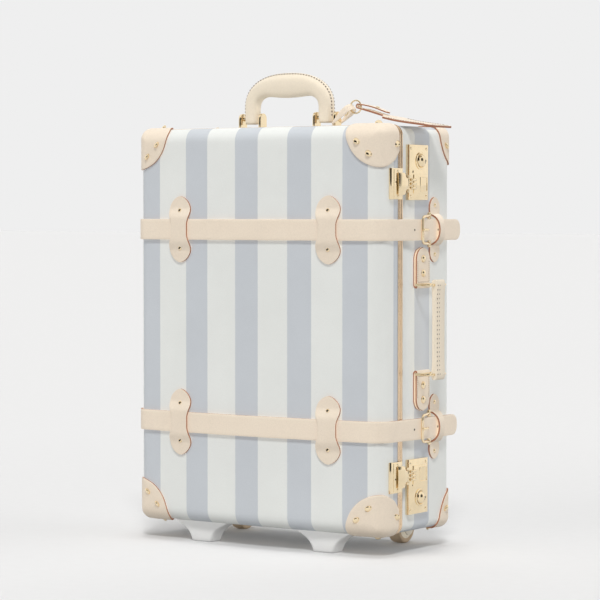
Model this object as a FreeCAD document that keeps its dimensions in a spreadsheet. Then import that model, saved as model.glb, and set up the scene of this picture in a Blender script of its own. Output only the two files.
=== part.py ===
import FreeCAD, Part
import math
import os
import Sketcher

# Carry-on suitcase: a shallow crowned lid hinged on a deep base, with leather and brass fittings.
# Millimetres, +Z up, front towards -Y, the locks on the +X side, floor at Z = 0.

doc = FreeCAD.newDocument("carry_on_suitcase")
sheet = doc.addObject("Spreadsheet::Sheet", "Size")

SIZES = [
    # The case's middle lies left of the origin, so that the handle, tag and hinges balance round it
    ("middle_x", -25.1), ("middle_y", -4.9),
    # Body
    ("body_width", 375.0), ("body_height", 500.0), ("body_depth", 164.0), ("lid_depth", 48.0),
    ("ground_clear", 26.0), ("wall", 3.0), ("corner_round", 22.0), ("front_round", 18.0),
    ("rear_round", 10.0), ("crown_wide", 10.0),
    # Brass edge frames and the seam between them
    ("trim_wide", 5.0), ("trim_proud", 0.8), ("trim_lip", 1.0), ("seam_gap", 0.3), ("seat_gap", 0.2),
    # Linings
    ("lining_thick", 1.5), ("panel_deep", 5.5),
    # Leather corners and rivets
    ("leather_thick", 2.4), ("lid_corner_reach", 52.0), ("base_corner_reach", 47.0),
    ("rivet_base", 3.7), ("rivet_high", 1.7), ("rivet_far", 34.0), ("rivet_near", 20.0),
    # Straps and keepers
    ("strap_wide", 26.0), ("strap_thick", 2.6), ("strap_lift", 1.2), ("strap_spread", 245.0),
    ("run_lift", 4.9), ("tail_upper", 14.0), ("tail_lower", 7.0), ("hole_round", 2.2), ("hole_pitch", 28.0),
    ("keeper_spread", 226.0), ("keeper_lobe", 17.0), ("keeper_waist", 25.0), ("keeper_rivets", 50.0),
    # Buckles
    ("buckle_bar_back", 62.0), ("buckle_long", 25.0), ("buckle_tall", 36.0), ("bar_round", 1.6),
    ("tab_back", 77.0), ("tab_lobe", 11.5), ("tab_waist", 19.0), ("tab_rivets", 58.0), ("tab_rise", 10.4),
    # Locks
    ("lock_wide", 45.0), ("lock_tall", 68.0), ("lock_thick", 5.0), ("lock_back", 12.0),
    ("lock_from_end", 57.0),
    ("knob_round", 8.0), ("knob_high", 4.0), ("hasp_long", 22.0), ("hasp_thick", 2.0), ("catch_wide", 21.0),
    ("catch_tall", 38.0), ("catch_thick", 4.0),
    # Side handle
    ("side_back", 45.5), ("side_tab_wide", 30.0), ("side_tab_thick", 4.4), ("side_span", 110.0),
    ("side_reach", 22.4), ("side_grip_wide", 20.0), ("side_grip_thick", 9.0), ("ring_wire", 3.0),
    # Carry handle
    ("handle_outer", 135.0), ("handle_leg", 20.5), ("handle_thick", 18.0), ("handle_rise", 57.0),
    ("handle_drop", 7.0), ("grip_deep", 29.0), ("pivot_high", 13.5), ("pin_round", 2.5), ("post_gap", 3.5),
    ("post_thick", 3.5),
    # Trolley
    ("cup_wide", 214.0), ("cup_long", 40.0), ("cup_deep", 33.0), ("cup_wall", 2.0), ("cup_inset", 11.0),
    ("pull_clear", 7.0), ("pull_long", 21.0), ("pull_tall", 22.0), ("tube_inset", 27.0),
    ("tube_wide", 20.0),
    ("tube_long", 16.0), ("tube_wall", 1.6), ("button_wide", 34.0), ("button_long", 10.0),
    ("button_travel", 3.0),
    # Wheels and feet
    ("wheel_round", 20.0), ("wheel_wide", 17.0), ("wheel_from_side", 63.5), ("wheel_inset", 12.0),
    ("axle_round", 3.0), ("well_wall", 2.2), ("foot_from_side", 94.0), ("foot_toe", 32.0),
    ("foot_head", 72.0),
    ("foot_front", 18.4), ("foot_deep", 24.0),
    # Hinges
    ("hinge_apart", 340.0), ("hinge_tall", 42.0), ("leaf_thick", 1.2), ("leaf_wide", 18.0),
    ("knuckle_round", 3.0),
    ("hinge_pin", 1.5),
    # Luggage tag
    ("lace_thick", 1.8), ("tag_slope", 12.0), ("tag_long", 142.0), ("tag_wide", 52.0), ("tag_thick", 2.6),
    ("link_round", 8.0), ("link_wire", 1.0),
]
for row, (alias, number) in enumerate(SIZES, start=1):
    sheet.set(f"A{row}", alias)
    sheet.set(f"B{row}", str(number))
    sheet.setAlias(f"B{row}", alias)
doc.recompute()

# Places that several pieces share
SIDE = "(Size.body_width/2)"
FLOOR = "Size.ground_clear"
TOP = "(Size.ground_clear+Size.body_height)"
MID = "(Size.ground_clear+Size.body_height/2)"
APEX = "(-Size.body_depth/2)"
REAR = "(Size.body_depth/2)"
SEAM = "(Size.lid_depth-Size.body_depth/2)"
LID_EDGE = f"({SEAM}-Size.trim_wide)"
BASE_EDGE = f"({SEAM}+Size.trim_wide)"
WIDE_RADIUS = "(Size.body_width^2/(8*Size.crown_wide)+Size.crown_wide/2)"
LEATHER = "(Size.seat_gap+Size.leather_thick)"
STRAP_OUT = "(Size.strap_lift+Size.strap_thick)"
RUN_OUT = "(Size.run_lift+Size.strap_thick)"
ALONG = {"X": (0, 90, 0), "Y": (0, 0, -90), "Z": (0, 0, 0)}


home = ("Size.middle_x", "Size.middle_y")


def draw_about(x, y):
    """Choose the point that later pieces are drawn about: the case's middle, or the bare origin."""
    global home
    home = (x, y)


def place(thing, x, y, z, turn=("0", "0", "0")):
    """Bind a placement: position, then yaw, pitch and roll."""
    spin = ";".join(str(a) for a in turn)
    spot = f"vector({x}+{home[0]};{y}+{home[1]};{z})"
    thing.setExpression("Placement", f"placement({spot};rotation({spin}))")
    return thing


def box(label, low, size):
    piece = doc.addObject("Part::Box", label)
    for name, value in zip(("Length", "Width", "Height"), size):
        piece.setExpression(name, value)
    return place(piece, *low)


def rod(label, centre, axis, radius, length):
    """A cylinder along X, Y or Z, centred on a point."""
    piece = doc.addObject("Part::Cylinder", label)
    piece.setExpression("Radius", radius)
    piece.setExpression("Height", length)
    start = [f"({c})-({length})/2" if a == axis else c for c, a in zip(centre, "XYZ")]
    return place(piece, *start, turn=ALONG[axis])


def fuse(label, pieces):
    piece = doc.addObject("Part::MultiFuse", label)
    piece.Shapes = pieces
    piece.Refine = True
    return piece


def cut(label, base, tool):
    piece = doc.addObject("Part::Cut", label)
    piece.Base = base
    piece.Tool = tool
    return piece


def common(label, first, second):
    piece = doc.addObject("Part::Common", label)
    piece.Base = first
    piece.Tool = second
    return piece


def group(label, pieces):
    piece = doc.addObject("Part::Compound", label)
    piece.Links = pieces
    return piece


def copy_at(label, master, x, y, z, turn=("0", "0", "0")):
    return place(group(label, [master]), x, y, z, turn)


def sketch_on(body, plane, offset):
    """A sketch on one of the body's own origin planes, moved by bound distances."""
    drawing = body.newObject("Sketcher::SketchObject", body.Label + "_sketch")
    face = [f for f in body.Origin.OriginFeatures if f.Role == plane][0]
    drawing.AttachmentSupport = [(face, "")]
    drawing.MapMode = "FlatFace"
    across = {"XY_Plane": (home[0], home[1], "0"), "XZ_Plane": (home[0], "0", f"-{home[1]}"),
              "YZ_Plane": (home[1], "0", home[0])}[plane]
    for axis, value, more in zip("xyz", offset, across):
        drawing.setExpression(f"AttachmentOffset.Base.{axis}", f"{value}+({more})")
    return drawing


def bind(drawing, kind, places, value):
    """Add a sized constraint and tie it to the sheet."""
    start = drawing.evalExpression(value) if hasattr(drawing, "evalExpression") else 1.0
    index = drawing.addConstraint(Sketcher.Constraint(kind, *places, float(start)))
    drawing.setExpression(f"Constraints[{index}]", value)


def rounded_rectangle(drawing, width, height, radius):
    """Four lines and four tangent arcs, centred on the sketch's origin."""
    w = float(drawing.evalExpression(width)) / 2
    h = float(drawing.evalExpression(height)) / 2
    r = float(drawing.evalExpression(radius))
    V = FreeCAD.Vector
    first = drawing.GeometryCount
    corners = [(w - r, r - h, 270), (w - r, h - r, 0), (r - w, h - r, 90), (r - w, r - h, 180)]
    lines = [(V(r - w, -h), V(w - r, -h)), (V(w, r - h), V(w, h - r)),
             (V(w - r, h), V(r - w, h)), (V(-w, h - r), V(-w, r - h))]
    for a, b in lines:
        drawing.addGeometry(Part.LineSegment(a, b))
    for x, y, angle in corners:
        circle = Part.Circle(V(x, y), V(0, 0, 1), r)
        drawing.addGeometry(Part.ArcOfCircle(circle, math.radians(angle), math.radians(angle + 90)))
    for i in range(4):
        line, arc, following = first + i, first + 4 + i, first + (i + 1) % 4
        drawing.addConstraint(Sketcher.Constraint("Tangent", line, 2, arc, 1))
        drawing.addConstraint(Sketcher.Constraint("Tangent", arc, 2, following, 1))
        drawing.addConstraint(Sketcher.Constraint("Horizontal" if i % 2 == 0 else "Vertical", line))
    for i in (5, 6, 7):
        drawing.addConstraint(Sketcher.Constraint("Equal", first + 4, first + i))
    drawing.addConstraint(Sketcher.Constraint("Symmetric", first + 4, 3, first + 6, 3, -1, 1))
    bind(drawing, "Radius", (first + 4,), radius)
    bind(drawing, "DistanceX", (first + 3, 1, first + 1, 1), width)
    bind(drawing, "DistanceY", (first, 1, first + 2, 1), height)


def outline(drawing, points):
    """A closed polygon with every corner's place bound."""
    spots = [tuple(float(drawing.evalExpression(v)) for v in p) for p in points]
    first = drawing.GeometryCount
    n = len(points)
    for i in range(n):
        a, b = spots[i], spots[(i + 1) % n]
        drawing.addGeometry(Part.LineSegment(FreeCAD.Vector(*a, 0), FreeCAD.Vector(*b, 0)))
    for i in range(n):
        drawing.addConstraint(Sketcher.Constraint("Coincident", first + i, 2, first + (i + 1) % n, 1))
    for i, (x, y) in enumerate(points):
        bind(drawing, "DistanceX", (-1, 1, first + i, 1), x)
        bind(drawing, "DistanceY", (-1, 1, first + i, 1), y)


def pad(body, drawing, length, reverse=False):
    feature = body.newObject("PartDesign::Pad", body.Label + "_pad")
    feature.Profile = drawing
    feature.setExpression("Length", length)
    feature.Reversed = reverse
    drawing.Visibility = False
    body.Tip = feature
    doc.recompute()
    return feature


def round_edges(body, radius, test, kind="Fillet"):
    """Round or chamfer the edges of the body's tip that pass the test."""
    base = body.Tip
    names = [f"Edge{i}" for i, edge in enumerate(base.Shape.Edges, 1) if test(edge)]
    feature = body.newObject("PartDesign::" + kind, body.Label + "_" + kind.lower())
    feature.Base = (base, names)
    feature.setExpression("Radius" if kind == "Fillet" else "Size", radius)
    body.Tip = feature
    doc.recompute()
    return feature


def runs_along(edge, axis):
    """True for a straight edge parallel to an axis."""
    if not isinstance(edge.Curve, (Part.Line, Part.LineSegment)):
        return False
    way = edge.tangentAt(edge.FirstParameter)
    return abs(abs(way.dot(axis)) - 1) < 1e-6


X_AXIS, Y_AXIS, Z_AXIS = FreeCAD.Vector(1, 0, 0), FreeCAD.Vector(0, 1, 0), FreeCAD.Vector(0, 0, 1)


def slab(label, plane, offset, points, length, reverse=False):
    """A padded polygon."""
    body = doc.addObject("PartDesign::Body", label)
    drawing = sketch_on(body, plane, offset)
    outline(drawing, points)
    pad(body, drawing, length, reverse)
    return body


def rounded_block(label, start, length, width, height, radius, reverse):
    """A block with rounded upright edges, padded from a plane across Y."""
    body = doc.addObject("PartDesign::Body", label)
    drawing = sketch_on(body, "XZ_Plane", ("0", MID, f"-({start})"))
    rounded_rectangle(drawing, width, height, radius)
    pad(body, drawing, length, reverse)
    return body


def ease(kind, radius):
    """A fillet's radius, or the size of the chamfer that touches the same fillet."""
    return f"({radius})" if kind == "Fillet" else f"(({radius})*0.586)"


def eased_block(label, start, length, grow, kind, reverse):
    """A block across Y with its four edges along Y eased."""
    wide, tall = f"(Size.body_width/2+({grow}))", f"(Size.body_height/2+({grow}))"
    block = slab(label, "XZ_Plane", ("0", MID, f"-({start})"),
                 [(f"-{wide}", f"-{tall}"), (wide, f"-{tall}"), (wide, tall), (f"-{wide}", tall)], length,
                 reverse)
    round_edges(block, ease(kind, f"Size.corner_round+({grow})"), lambda e: runs_along(e, Y_AXIS), kind)
    return block


def lid_hull(label, grow, start, kind="Fillet"):
    """The lid's outer form, or one parallel to it: a block, a crown and two eased sides in common."""
    radius = ease(kind, f"Size.front_round+({grow})")
    block = eased_block(label + "_block", start, f"({start})-({APEX})+({grow})+1", grow, kind, False)
    crown = doc.addObject("PartDesign::Body", label + "_crown")
    drawing = sketch_on(crown, "YZ_Plane", (f"{APEX}+{WIDE_RADIUS}", MID, "0"))
    face, tall = f"(-{WIDE_RADIUS}-({grow}))", f"(Size.body_height/2+({grow}))"
    back = f"(({start})+1-({APEX})-{WIDE_RADIUS})"
    outline(drawing, [(face, f"-{tall}"), (back, f"-{tall}"), (back, tall), (face, tall)])
    turn = crown.newObject("PartDesign::Revolution", label + "_turn")
    turn.Profile = drawing
    turn.ReferenceAxis = (drawing, ["V_Axis"])
    turn.Angle = 20
    turn.Midplane = True
    drawing.Visibility = False
    crown.Tip = turn
    doc.recompute()
    largest = max(e.Curve.Radius for e in turn.Shape.Edges if isinstance(e.Curve, Part.Circle))
    round_edges(crown, radius,
                lambda e: isinstance(e.Curve, Part.Circle) and e.Curve.Radius > largest - 0.01, kind)
    # The eased sides meet the crown where a straight line touches it, a hair further out
    touch = "(Size.body_width/2-Size.front_round)"
    slope = f"({touch}/{WIDE_RADIUS})"
    peak = f"({APEX}-({grow})-{touch}*{slope}/2-0.15)"
    wide = f"(Size.body_width/2+({grow}))"
    sides = slab(label + "_sides", "XY_Plane", ("0", "0", f"{FLOOR}-({grow})-1"),
                 [(f"-{wide}", f"({start})+1"), (f"-{wide}", f"{peak}+{slope}*{wide}"), ("0", peak),
                  (wide, f"{peak}+{slope}*{wide}"), (wide, f"({start})+1")],
                  f"Size.body_height+2*({grow})+2")
    span = sides.Tip.Shape.BoundBox
    blunt = radius if kind == "Fillet" else f"((Size.front_round+({grow}))*0.518)"
    round_edges(sides, blunt,
                lambda e: runs_along(e, Z_AXIS) and span.YMin + 1 < e.BoundBox.YMin < span.YMax - 1,
                kind)
    hull = doc.addObject("Part::MultiCommon", label)
    hull.Shapes = [block, crown, sides]
    return hull


def base_hull(label, grow, start, kind="Fillet"):
    """The base's outer form, or one parallel to it: what a block and two eased slabs have in common."""
    radius = ease(kind, f"Size.rear_round+({grow})")
    block = eased_block(label + "_block", start, f"{REAR}+({grow})-({start})", grow, kind, True)
    wide, tall = f"(Size.body_width/2+({grow}))", f"(Size.body_height/2+({grow}))"
    near, far = f"({start})-1", f"{REAR}+({grow})"
    high = slab(label + "_high", "YZ_Plane", ("0", MID, f"-{wide}-1"),
                [(near, f"-{tall}"), (far, f"-{tall}"), (far, tall), (near, tall)], f"2*{wide}+2")
    sides = slab(label + "_sides", "XY_Plane", ("0", "0", f"{FLOOR}-({grow})-1"),
                 [(f"-{wide}", near), (wide, near), (wide, far), (f"-{wide}", far)], f"2*{tall}+2")
    for body, axis in ((high, X_AXIS), (sides, Z_AXIS)):
        back = body.Tip.Shape.BoundBox.YMax
        round_edges(body, radius, lambda e: runs_along(e, axis) and e.BoundBox.YMin > back - 1, kind)
    hull = doc.addObject("Part::MultiCommon", label)
    hull.Shapes = [block, high, sides]
    return hull


def crown_at(x):
    """How far the crowned front lies behind its apex."""
    return f"(({x})^2/(2*{WIDE_RADIUS}))"


def octagonal(label, centre, axis, radius, length, sides=8):
    """A prism with flats, centred on a point: the light stand-in for a small round head, lobe or hole."""
    piece = doc.addObject("Part::Prism", label)
    piece.Polygon = sides
    piece.setExpression("Circumradius", radius)
    piece.setExpression("Height", length)
    start = [f"({c})-({length})/2" if a == axis else c for c, a in zip(centre, "XYZ")]
    return place(piece, *start, turn=ALONG[axis])


# Shells, edge frames and linings
lid_outer = lid_hull("lid_outer_form", "0", LID_EDGE)
lid_inner = lid_hull("lid_inner_form", "-Size.wall", f"{LID_EDGE}+1", "Chamfer")
lid_shell = cut("lid_shell", lid_outer, lid_inner)

base_outer = base_hull("base_outer_form", "0", BASE_EDGE)
base_inner = base_hull("base_inner_form", "-Size.wall", f"{BASE_EDGE}-1", "Chamfer")
WELL_HALF = "(Size.wheel_wide/2+Size.well_wall+2)"
WELL_FRONT = f"({REAR}-Size.wheel_inset-Size.wheel_round-2.5-Size.well_wall)"
WELL_TOP = "(2*Size.wheel_round+3+Size.well_wall)"
CUP_BACK = f"({REAR}-Size.cup_inset)"
CUP_MIDDLE = f"({CUP_BACK}-Size.cup_long/2)"
PULL_Y = f"({CUP_BACK}-Size.cup_wall-1-Size.pull_long/2)"
openings = [box("cup_cutout", ("-Size.cup_wide/2-0.3", f"{CUP_BACK}-Size.cup_long-0.3",
                               f"{TOP}-Size.wall-6"),
                ("Size.cup_wide+0.6", "Size.cup_long+0.6", "Size.wall+12"))]
for side, word in ((-1, "left"), (1, "right")):
    centre = f"({side})*({SIDE}-Size.wheel_from_side)"
    openings.append(box(f"well_cutout_{word}", (f"{centre}-{WELL_HALF}-0.3", f"{WELL_FRONT}-0.3",
                                                f"{FLOOR}-5"),
                        (f"2*{WELL_HALF}+0.6", "Size.wheel_round*3", f"{WELL_TOP}+0.3-{FLOOR}+5")))
base_shell = cut("base_shell", cut("base_bare", base_outer, base_inner), fuse("base_openings", openings))


def edge_frame(label, start, reverse):
    """A brass channel that caps a shell's rim."""
    body = doc.addObject("PartDesign::Body", label)
    drawing = sketch_on(body, "XZ_Plane", ("0", MID, f"-({start})"))
    rounded_rectangle(drawing, "Size.body_width+2*Size.trim_proud", "Size.body_height+2*Size.trim_proud",
                      "Size.corner_round+Size.trim_proud")
    less = "(Size.wall+Size.trim_lip)"
    rounded_rectangle(drawing, f"Size.body_width-2*{less}", f"Size.body_height-2*{less}",
                      f"Size.corner_round-{less}")
    pad(body, drawing, "Size.trim_wide-Size.seam_gap/2", reverse)
    return body


lid_frame = edge_frame("lid_frame", f"{SEAM}-Size.seam_gap/2", False)
base_frame = edge_frame("base_frame", f"{SEAM}+Size.seam_gap/2", True)


def lining(label, start, length, reverse):
    """A thin tray that lines a shell, open towards the seam."""
    less = "(Size.wall+Size.seat_gap)"
    outer = rounded_block(label + "_outer", start, length, f"Size.body_width-2*{less}",
                          f"Size.body_height-2*{less}",
                          f"Size.corner_round-{less}", reverse)
    inset = f"({less}+Size.lining_thick)"
    way = "-1" if reverse else "1"
    inner = rounded_block(label + "_inner", f"({start})+({way})", f"({length})+1-Size.lining_thick",
                          f"Size.body_width-2*{inset}", f"Size.body_height-2*{inset}",
                          f"Size.corner_round-{inset}",
                          reverse)
    return outer, inner


tray, hollow = lining("lid_lining", f"{LID_EDGE}-Size.seat_gap", "Size.panel_deep", False)
lid_lining = cut("lid_lining", tray, hollow)
tray, hollow = lining("base_lining", f"{BASE_EDGE}+Size.seat_gap",
                      f"{PULL_Y}-Size.tube_long/2-0.4-{BASE_EDGE}-Size.seat_gap", True)
notches = [box("cup_notch", ("-Size.cup_wide/2-1", f"{CUP_BACK}-Size.cup_long-1", f"{TOP}-Size.cup_deep-1"),
               ("Size.cup_wide+2", "Size.cup_long+2", "Size.cup_deep+10"))]
for side, word in ((-1, "left"), (1, "right")):
    notches.append(box(f"well_notch_{word}", (f"({side})*({SIDE}-Size.wheel_from_side)-{WELL_HALF}-1",
                                              f"{WELL_FRONT}-1", FLOOR),
                       (f"2*{WELL_HALF}+2", "Size.wheel_round*3", f"{WELL_TOP}+1-{FLOOR}")))
base_lining = cut("base_lining", cut("base_tray", tray, hollow), fuse("lining_notches", notches))


# Leather corners: the folded skin between two parallel forms, trimmed round each corner
lid_skin = cut("lid_skin", lid_hull("lid_skin_outer", LEATHER, f"{LID_EDGE}-Size.seat_gap", "Chamfer"),
               lid_hull("lid_skin_inner", "Size.seat_gap", f"{LID_EDGE}-Size.seat_gap+1", "Chamfer"))
base_skin = cut("base_skin", base_hull("base_skin_outer", LEATHER, f"{BASE_EDGE}+Size.seat_gap", "Chamfer"),
                base_hull("base_skin_inner", "Size.seat_gap", f"{BASE_EDGE}+Size.seat_gap-1", "Chamfer"))
lid_corners, base_corners, lid_heads, base_heads = [], [], [], []


def rivet(label, x, y, z, turn):
    """A low head, seated with its base on a surface."""
    head = doc.addObject("Part::Prism", label)
    head.Polygon = 8
    head.setExpression("Circumradius", "Size.rivet_base")
    head.setExpression("Height", "Size.rivet_high")
    return place(head, x, y, z, turn)


FACING = {"front": (0, 0, 90), "rear": (0, 0, -90), "right": (0, 90, 0), "left": (0, -90, 0),
          "up": (0, 0, 0),
          "down": (0, 180, 0)}
for side, side_word in ((-1, "left"), (1, "right")):
    for rise, rise_word in ((-1, "bottom"), (1, "top")):
        name = f"{rise_word}_{side_word}"
        corner_z = TOP if rise > 0 else FLOOR
        upward = "up" if rise > 0 else "down"
        for part, skin, made, heads in (("lid", lid_skin, lid_corners, lid_heads),
                                        ("base", base_skin, base_corners, base_heads)):
            reach = f"Size.{part}_corner_reach"
            middle = f"({APEX}+Size.crown_wide+6)" if part == "lid" else REAR
            trim = slab(f"{part}_trim_{name}", "XY_Plane", (f"({side})*{SIDE}", middle,
                                                            f"({corner_z})-{reach}"),
                        [(f"-{reach}", f"-{reach}"), (reach, f"-{reach}"), (reach, reach),
                         (f"-{reach}", reach)],
                        f"2*{reach}")
            round_edges(trim, ease("Chamfer", reach), lambda e: True, "Chamfer")
            made.append(common(f"{part}_corner_{name}", skin, trim))
            for count, (in_x, in_z) in enumerate((("Size.rivet_far", "Size.rivet_near"),
                                                  ("Size.rivet_near", "Size.rivet_far"))):
                x = f"({side})*({SIDE}-{in_x})"
                z = f"({corner_z})-({rise})*{in_z}"
                if part == "lid":
                    depth = crown_at(f"{SIDE}-{in_x}")
                    y, turn = f"{APEX}+{depth}-{LEATHER}-0.45", FACING["front"]
                else:
                    y, turn = f"{REAR}+{LEATHER}+0.1", FACING["rear"]
                heads.append(rivet(f"{part}_head_{name}_{count}", x, y, z, turn))
            along = f"{LID_EDGE}-7" if part == "lid" else f"{REAR}-Size.rivet_near-1"
            heads.append(rivet(f"{part}_head_{name}_side", f"({side})*({SIDE}+{LEATHER}+0.1)", along,
                               f"({corner_z})-({rise})*26", FACING[side_word]))
            heads.append(rivet(f"{part}_head_{name}_{upward}", f"({side})*({SIDE}-26)", along,
                               f"({corner_z})+({rise})*({LEATHER}+0.1)", FACING[upward]))


# Straps: a band parallel to the lid, and a run that lifts over the buckle's bar on the base
strap_skin = cut("strap_skin", lid_hull("strap_skin_outer", STRAP_OUT, SEAM),
                 lid_hull("strap_skin_inner", "Size.strap_lift", f"{SEAM}+1"))
BAR_Y = f"({APEX}+Size.lid_depth+Size.buckle_bar_back)"
FRONT_BAR_Y = f"({BAR_Y}-Size.buckle_long)"
TAB_Y = f"({APEX}+Size.lid_depth+Size.tab_back)"
straps = []
for rise, word in ((1, "upper"), (-1, "lower")):
    level = f"({MID}+({rise})*Size.strap_spread/2)"
    slice_box = box(f"strap_slice_{word}", (f"-{SIDE}-20", f"{APEX}-20", f"{level}-Size.strap_wide/2"),
                    ("Size.body_width+40", f"Size.lid_depth+20", "Size.strap_wide"))
    band = common(f"strap_band_{word}", strap_skin, slice_box)
    left_end = box(f"strap_left_end_{word}", (f"-{SIDE}-20", f"{LID_EDGE}-2", f"{level}-20"),
                   ("40", "20", "40"))
    band = cut(f"strap_trimmed_{word}", band, left_end)
    end_y = f"({REAR}+Size.tail_{word}-Size.strap_wide/2)"
    flat_y = f"({FRONT_BAR_Y}-8)"
    low, high = f"{SIDE}+Size.strap_lift", f"{SIDE}+{STRAP_OUT}"
    run = slab(f"strap_run_{word}", "XY_Plane", ("0", "0", f"{level}-Size.strap_wide/2"),
               [(low, f"{SEAM}-2"), (high, f"{SEAM}-2"), (high, SEAM), (f"{SIDE}+{RUN_OUT}", flat_y),
                (f"{SIDE}+{RUN_OUT}", end_y), (f"{SIDE}+Size.run_lift", end_y),
                (f"{SIDE}+Size.run_lift", flat_y),
                (low, SEAM)], "Size.strap_wide")
    tip = rod(f"strap_tip_{word}", (f"{SIDE}+Size.run_lift+Size.strap_thick/2", end_y, level), "X",
              "Size.strap_wide/2", "Size.strap_thick")
    whole = fuse(f"strap_whole_{word}", [band, run, tip])
    slot = box(f"strap_slot_{word}", (f"{SIDE}+Size.run_lift-1", f"{BAR_Y}-8", f"{level}-2.4"),
               ("Size.strap_thick+2", "12", "4.8"))
    holes = [slot]
    for step in (-1, 1):
        spot = (f"{SIDE}+Size.run_lift", f"{BAR_Y}-6+({step})*Size.hole_pitch", level)
        holes.append(octagonal(f"strap_hole_{word}_{step + 1}", spot, "X", "Size.hole_round", "20"))
    straps.append(cut(f"strap_{word}", whole, fuse(f"strap_holes_{word}", holes)))


def bridge(label, lobe, waist, span, lift, half_gap):
    """A peanut-shaped leather keeper drawn at the origin, facing +X, that arches over a strap."""
    thick, gap = "Size.leather_thick", "Size.seat_gap"
    reach = f"({span}/2+{lobe}+2)"
    over = f"({gap}+{lift})"
    foot = f"({half_gap}+2.5)"
    knee = f"({half_gap}-0.5)"
    arch = [(gap, f"-{reach}"), (f"{gap}+{thick}", f"-{reach}"), (f"{gap}+{thick}", f"-{foot}-2.5"),
            (f"{over}+{thick}", f"-{knee}-0.5"), (f"{over}+{thick}", f"{knee}+0.5"),
            (f"{gap}+{thick}", f"{foot}+2.5"), (f"{gap}+{thick}", reach), (gap, reach), (gap, foot),
            (over, knee), (over, f"-{knee}"), (gap, f"-{foot}")]
    ribbon = slab(label + "_ribbon", "XZ_Plane", ("0", "0", "25"), arch, "50", True)
    plate = fuse(label + "_plate", [
        octagonal(label + "_lobe_low", ("10", "0", f"-{span}/2"), "X", lobe, "40", 16),
        octagonal(label + "_lobe_high", ("10", "0", f"{span}/2"), "X", lobe, "40", 16),
        box(label + "_waist", ("-10", f"-{waist}/2", f"-{span}/2"), ("40", waist, span))])
    return common(label, ribbon, plate)


# Front keepers, tilted to lie on the crown
draw_about("0", "0")
keeper_form = bridge("keeper_form", "Size.keeper_lobe", "Size.keeper_waist", "Size.keeper_rivets",
                     f"({STRAP_OUT}+0.5)", "(Size.strap_wide/2+0.8)")
draw_about("Size.middle_x", "Size.middle_y")
keepers = []
for side, side_word in ((-1, "left"), (1, "right")):
    for rise, rise_word in ((1, "upper"), (-1, "lower")):
        half_x, half_z = "(Size.keeper_spread/2)", "(Size.strap_spread/2)"
        depth = crown_at(half_x)
        yaw = f"-90+({side})*asin({half_x}/{WIDE_RADIUS})/1deg"
        keeper = copy_at(f"keeper_{rise_word}_{side_word}", keeper_form, f"({side})*{half_x}",
                         f"{APEX}+{depth}-0.1", f"{MID}+({rise})*{half_z}", (yaw, "0", "0"))
        keepers.append(keeper)
        for end in (-1, 1):
            far_z = f"(({rise})*{half_z}+({end})*Size.keeper_rivets/2)"
            lid_heads.append(rivet(f"keeper_head_{rise_word}_{side_word}_{end + 1}",
                                   f"({side})*({half_x}+0.2)",
                                   f"{APEX}+{depth}-{LEATHER}-0.25", f"{MID}+{far_z}", (yaw, "90", "0")))
for rise, word in ((1, "upper"), (-1, "lower")):
    lid_heads.append(rivet(f"strap_end_head_{word}", f"-{SIDE}-{STRAP_OUT}-0.1", f"{LID_EDGE}-8",
                           f"{MID}+({rise})*Size.strap_spread/2", FACING["left"]))

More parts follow.
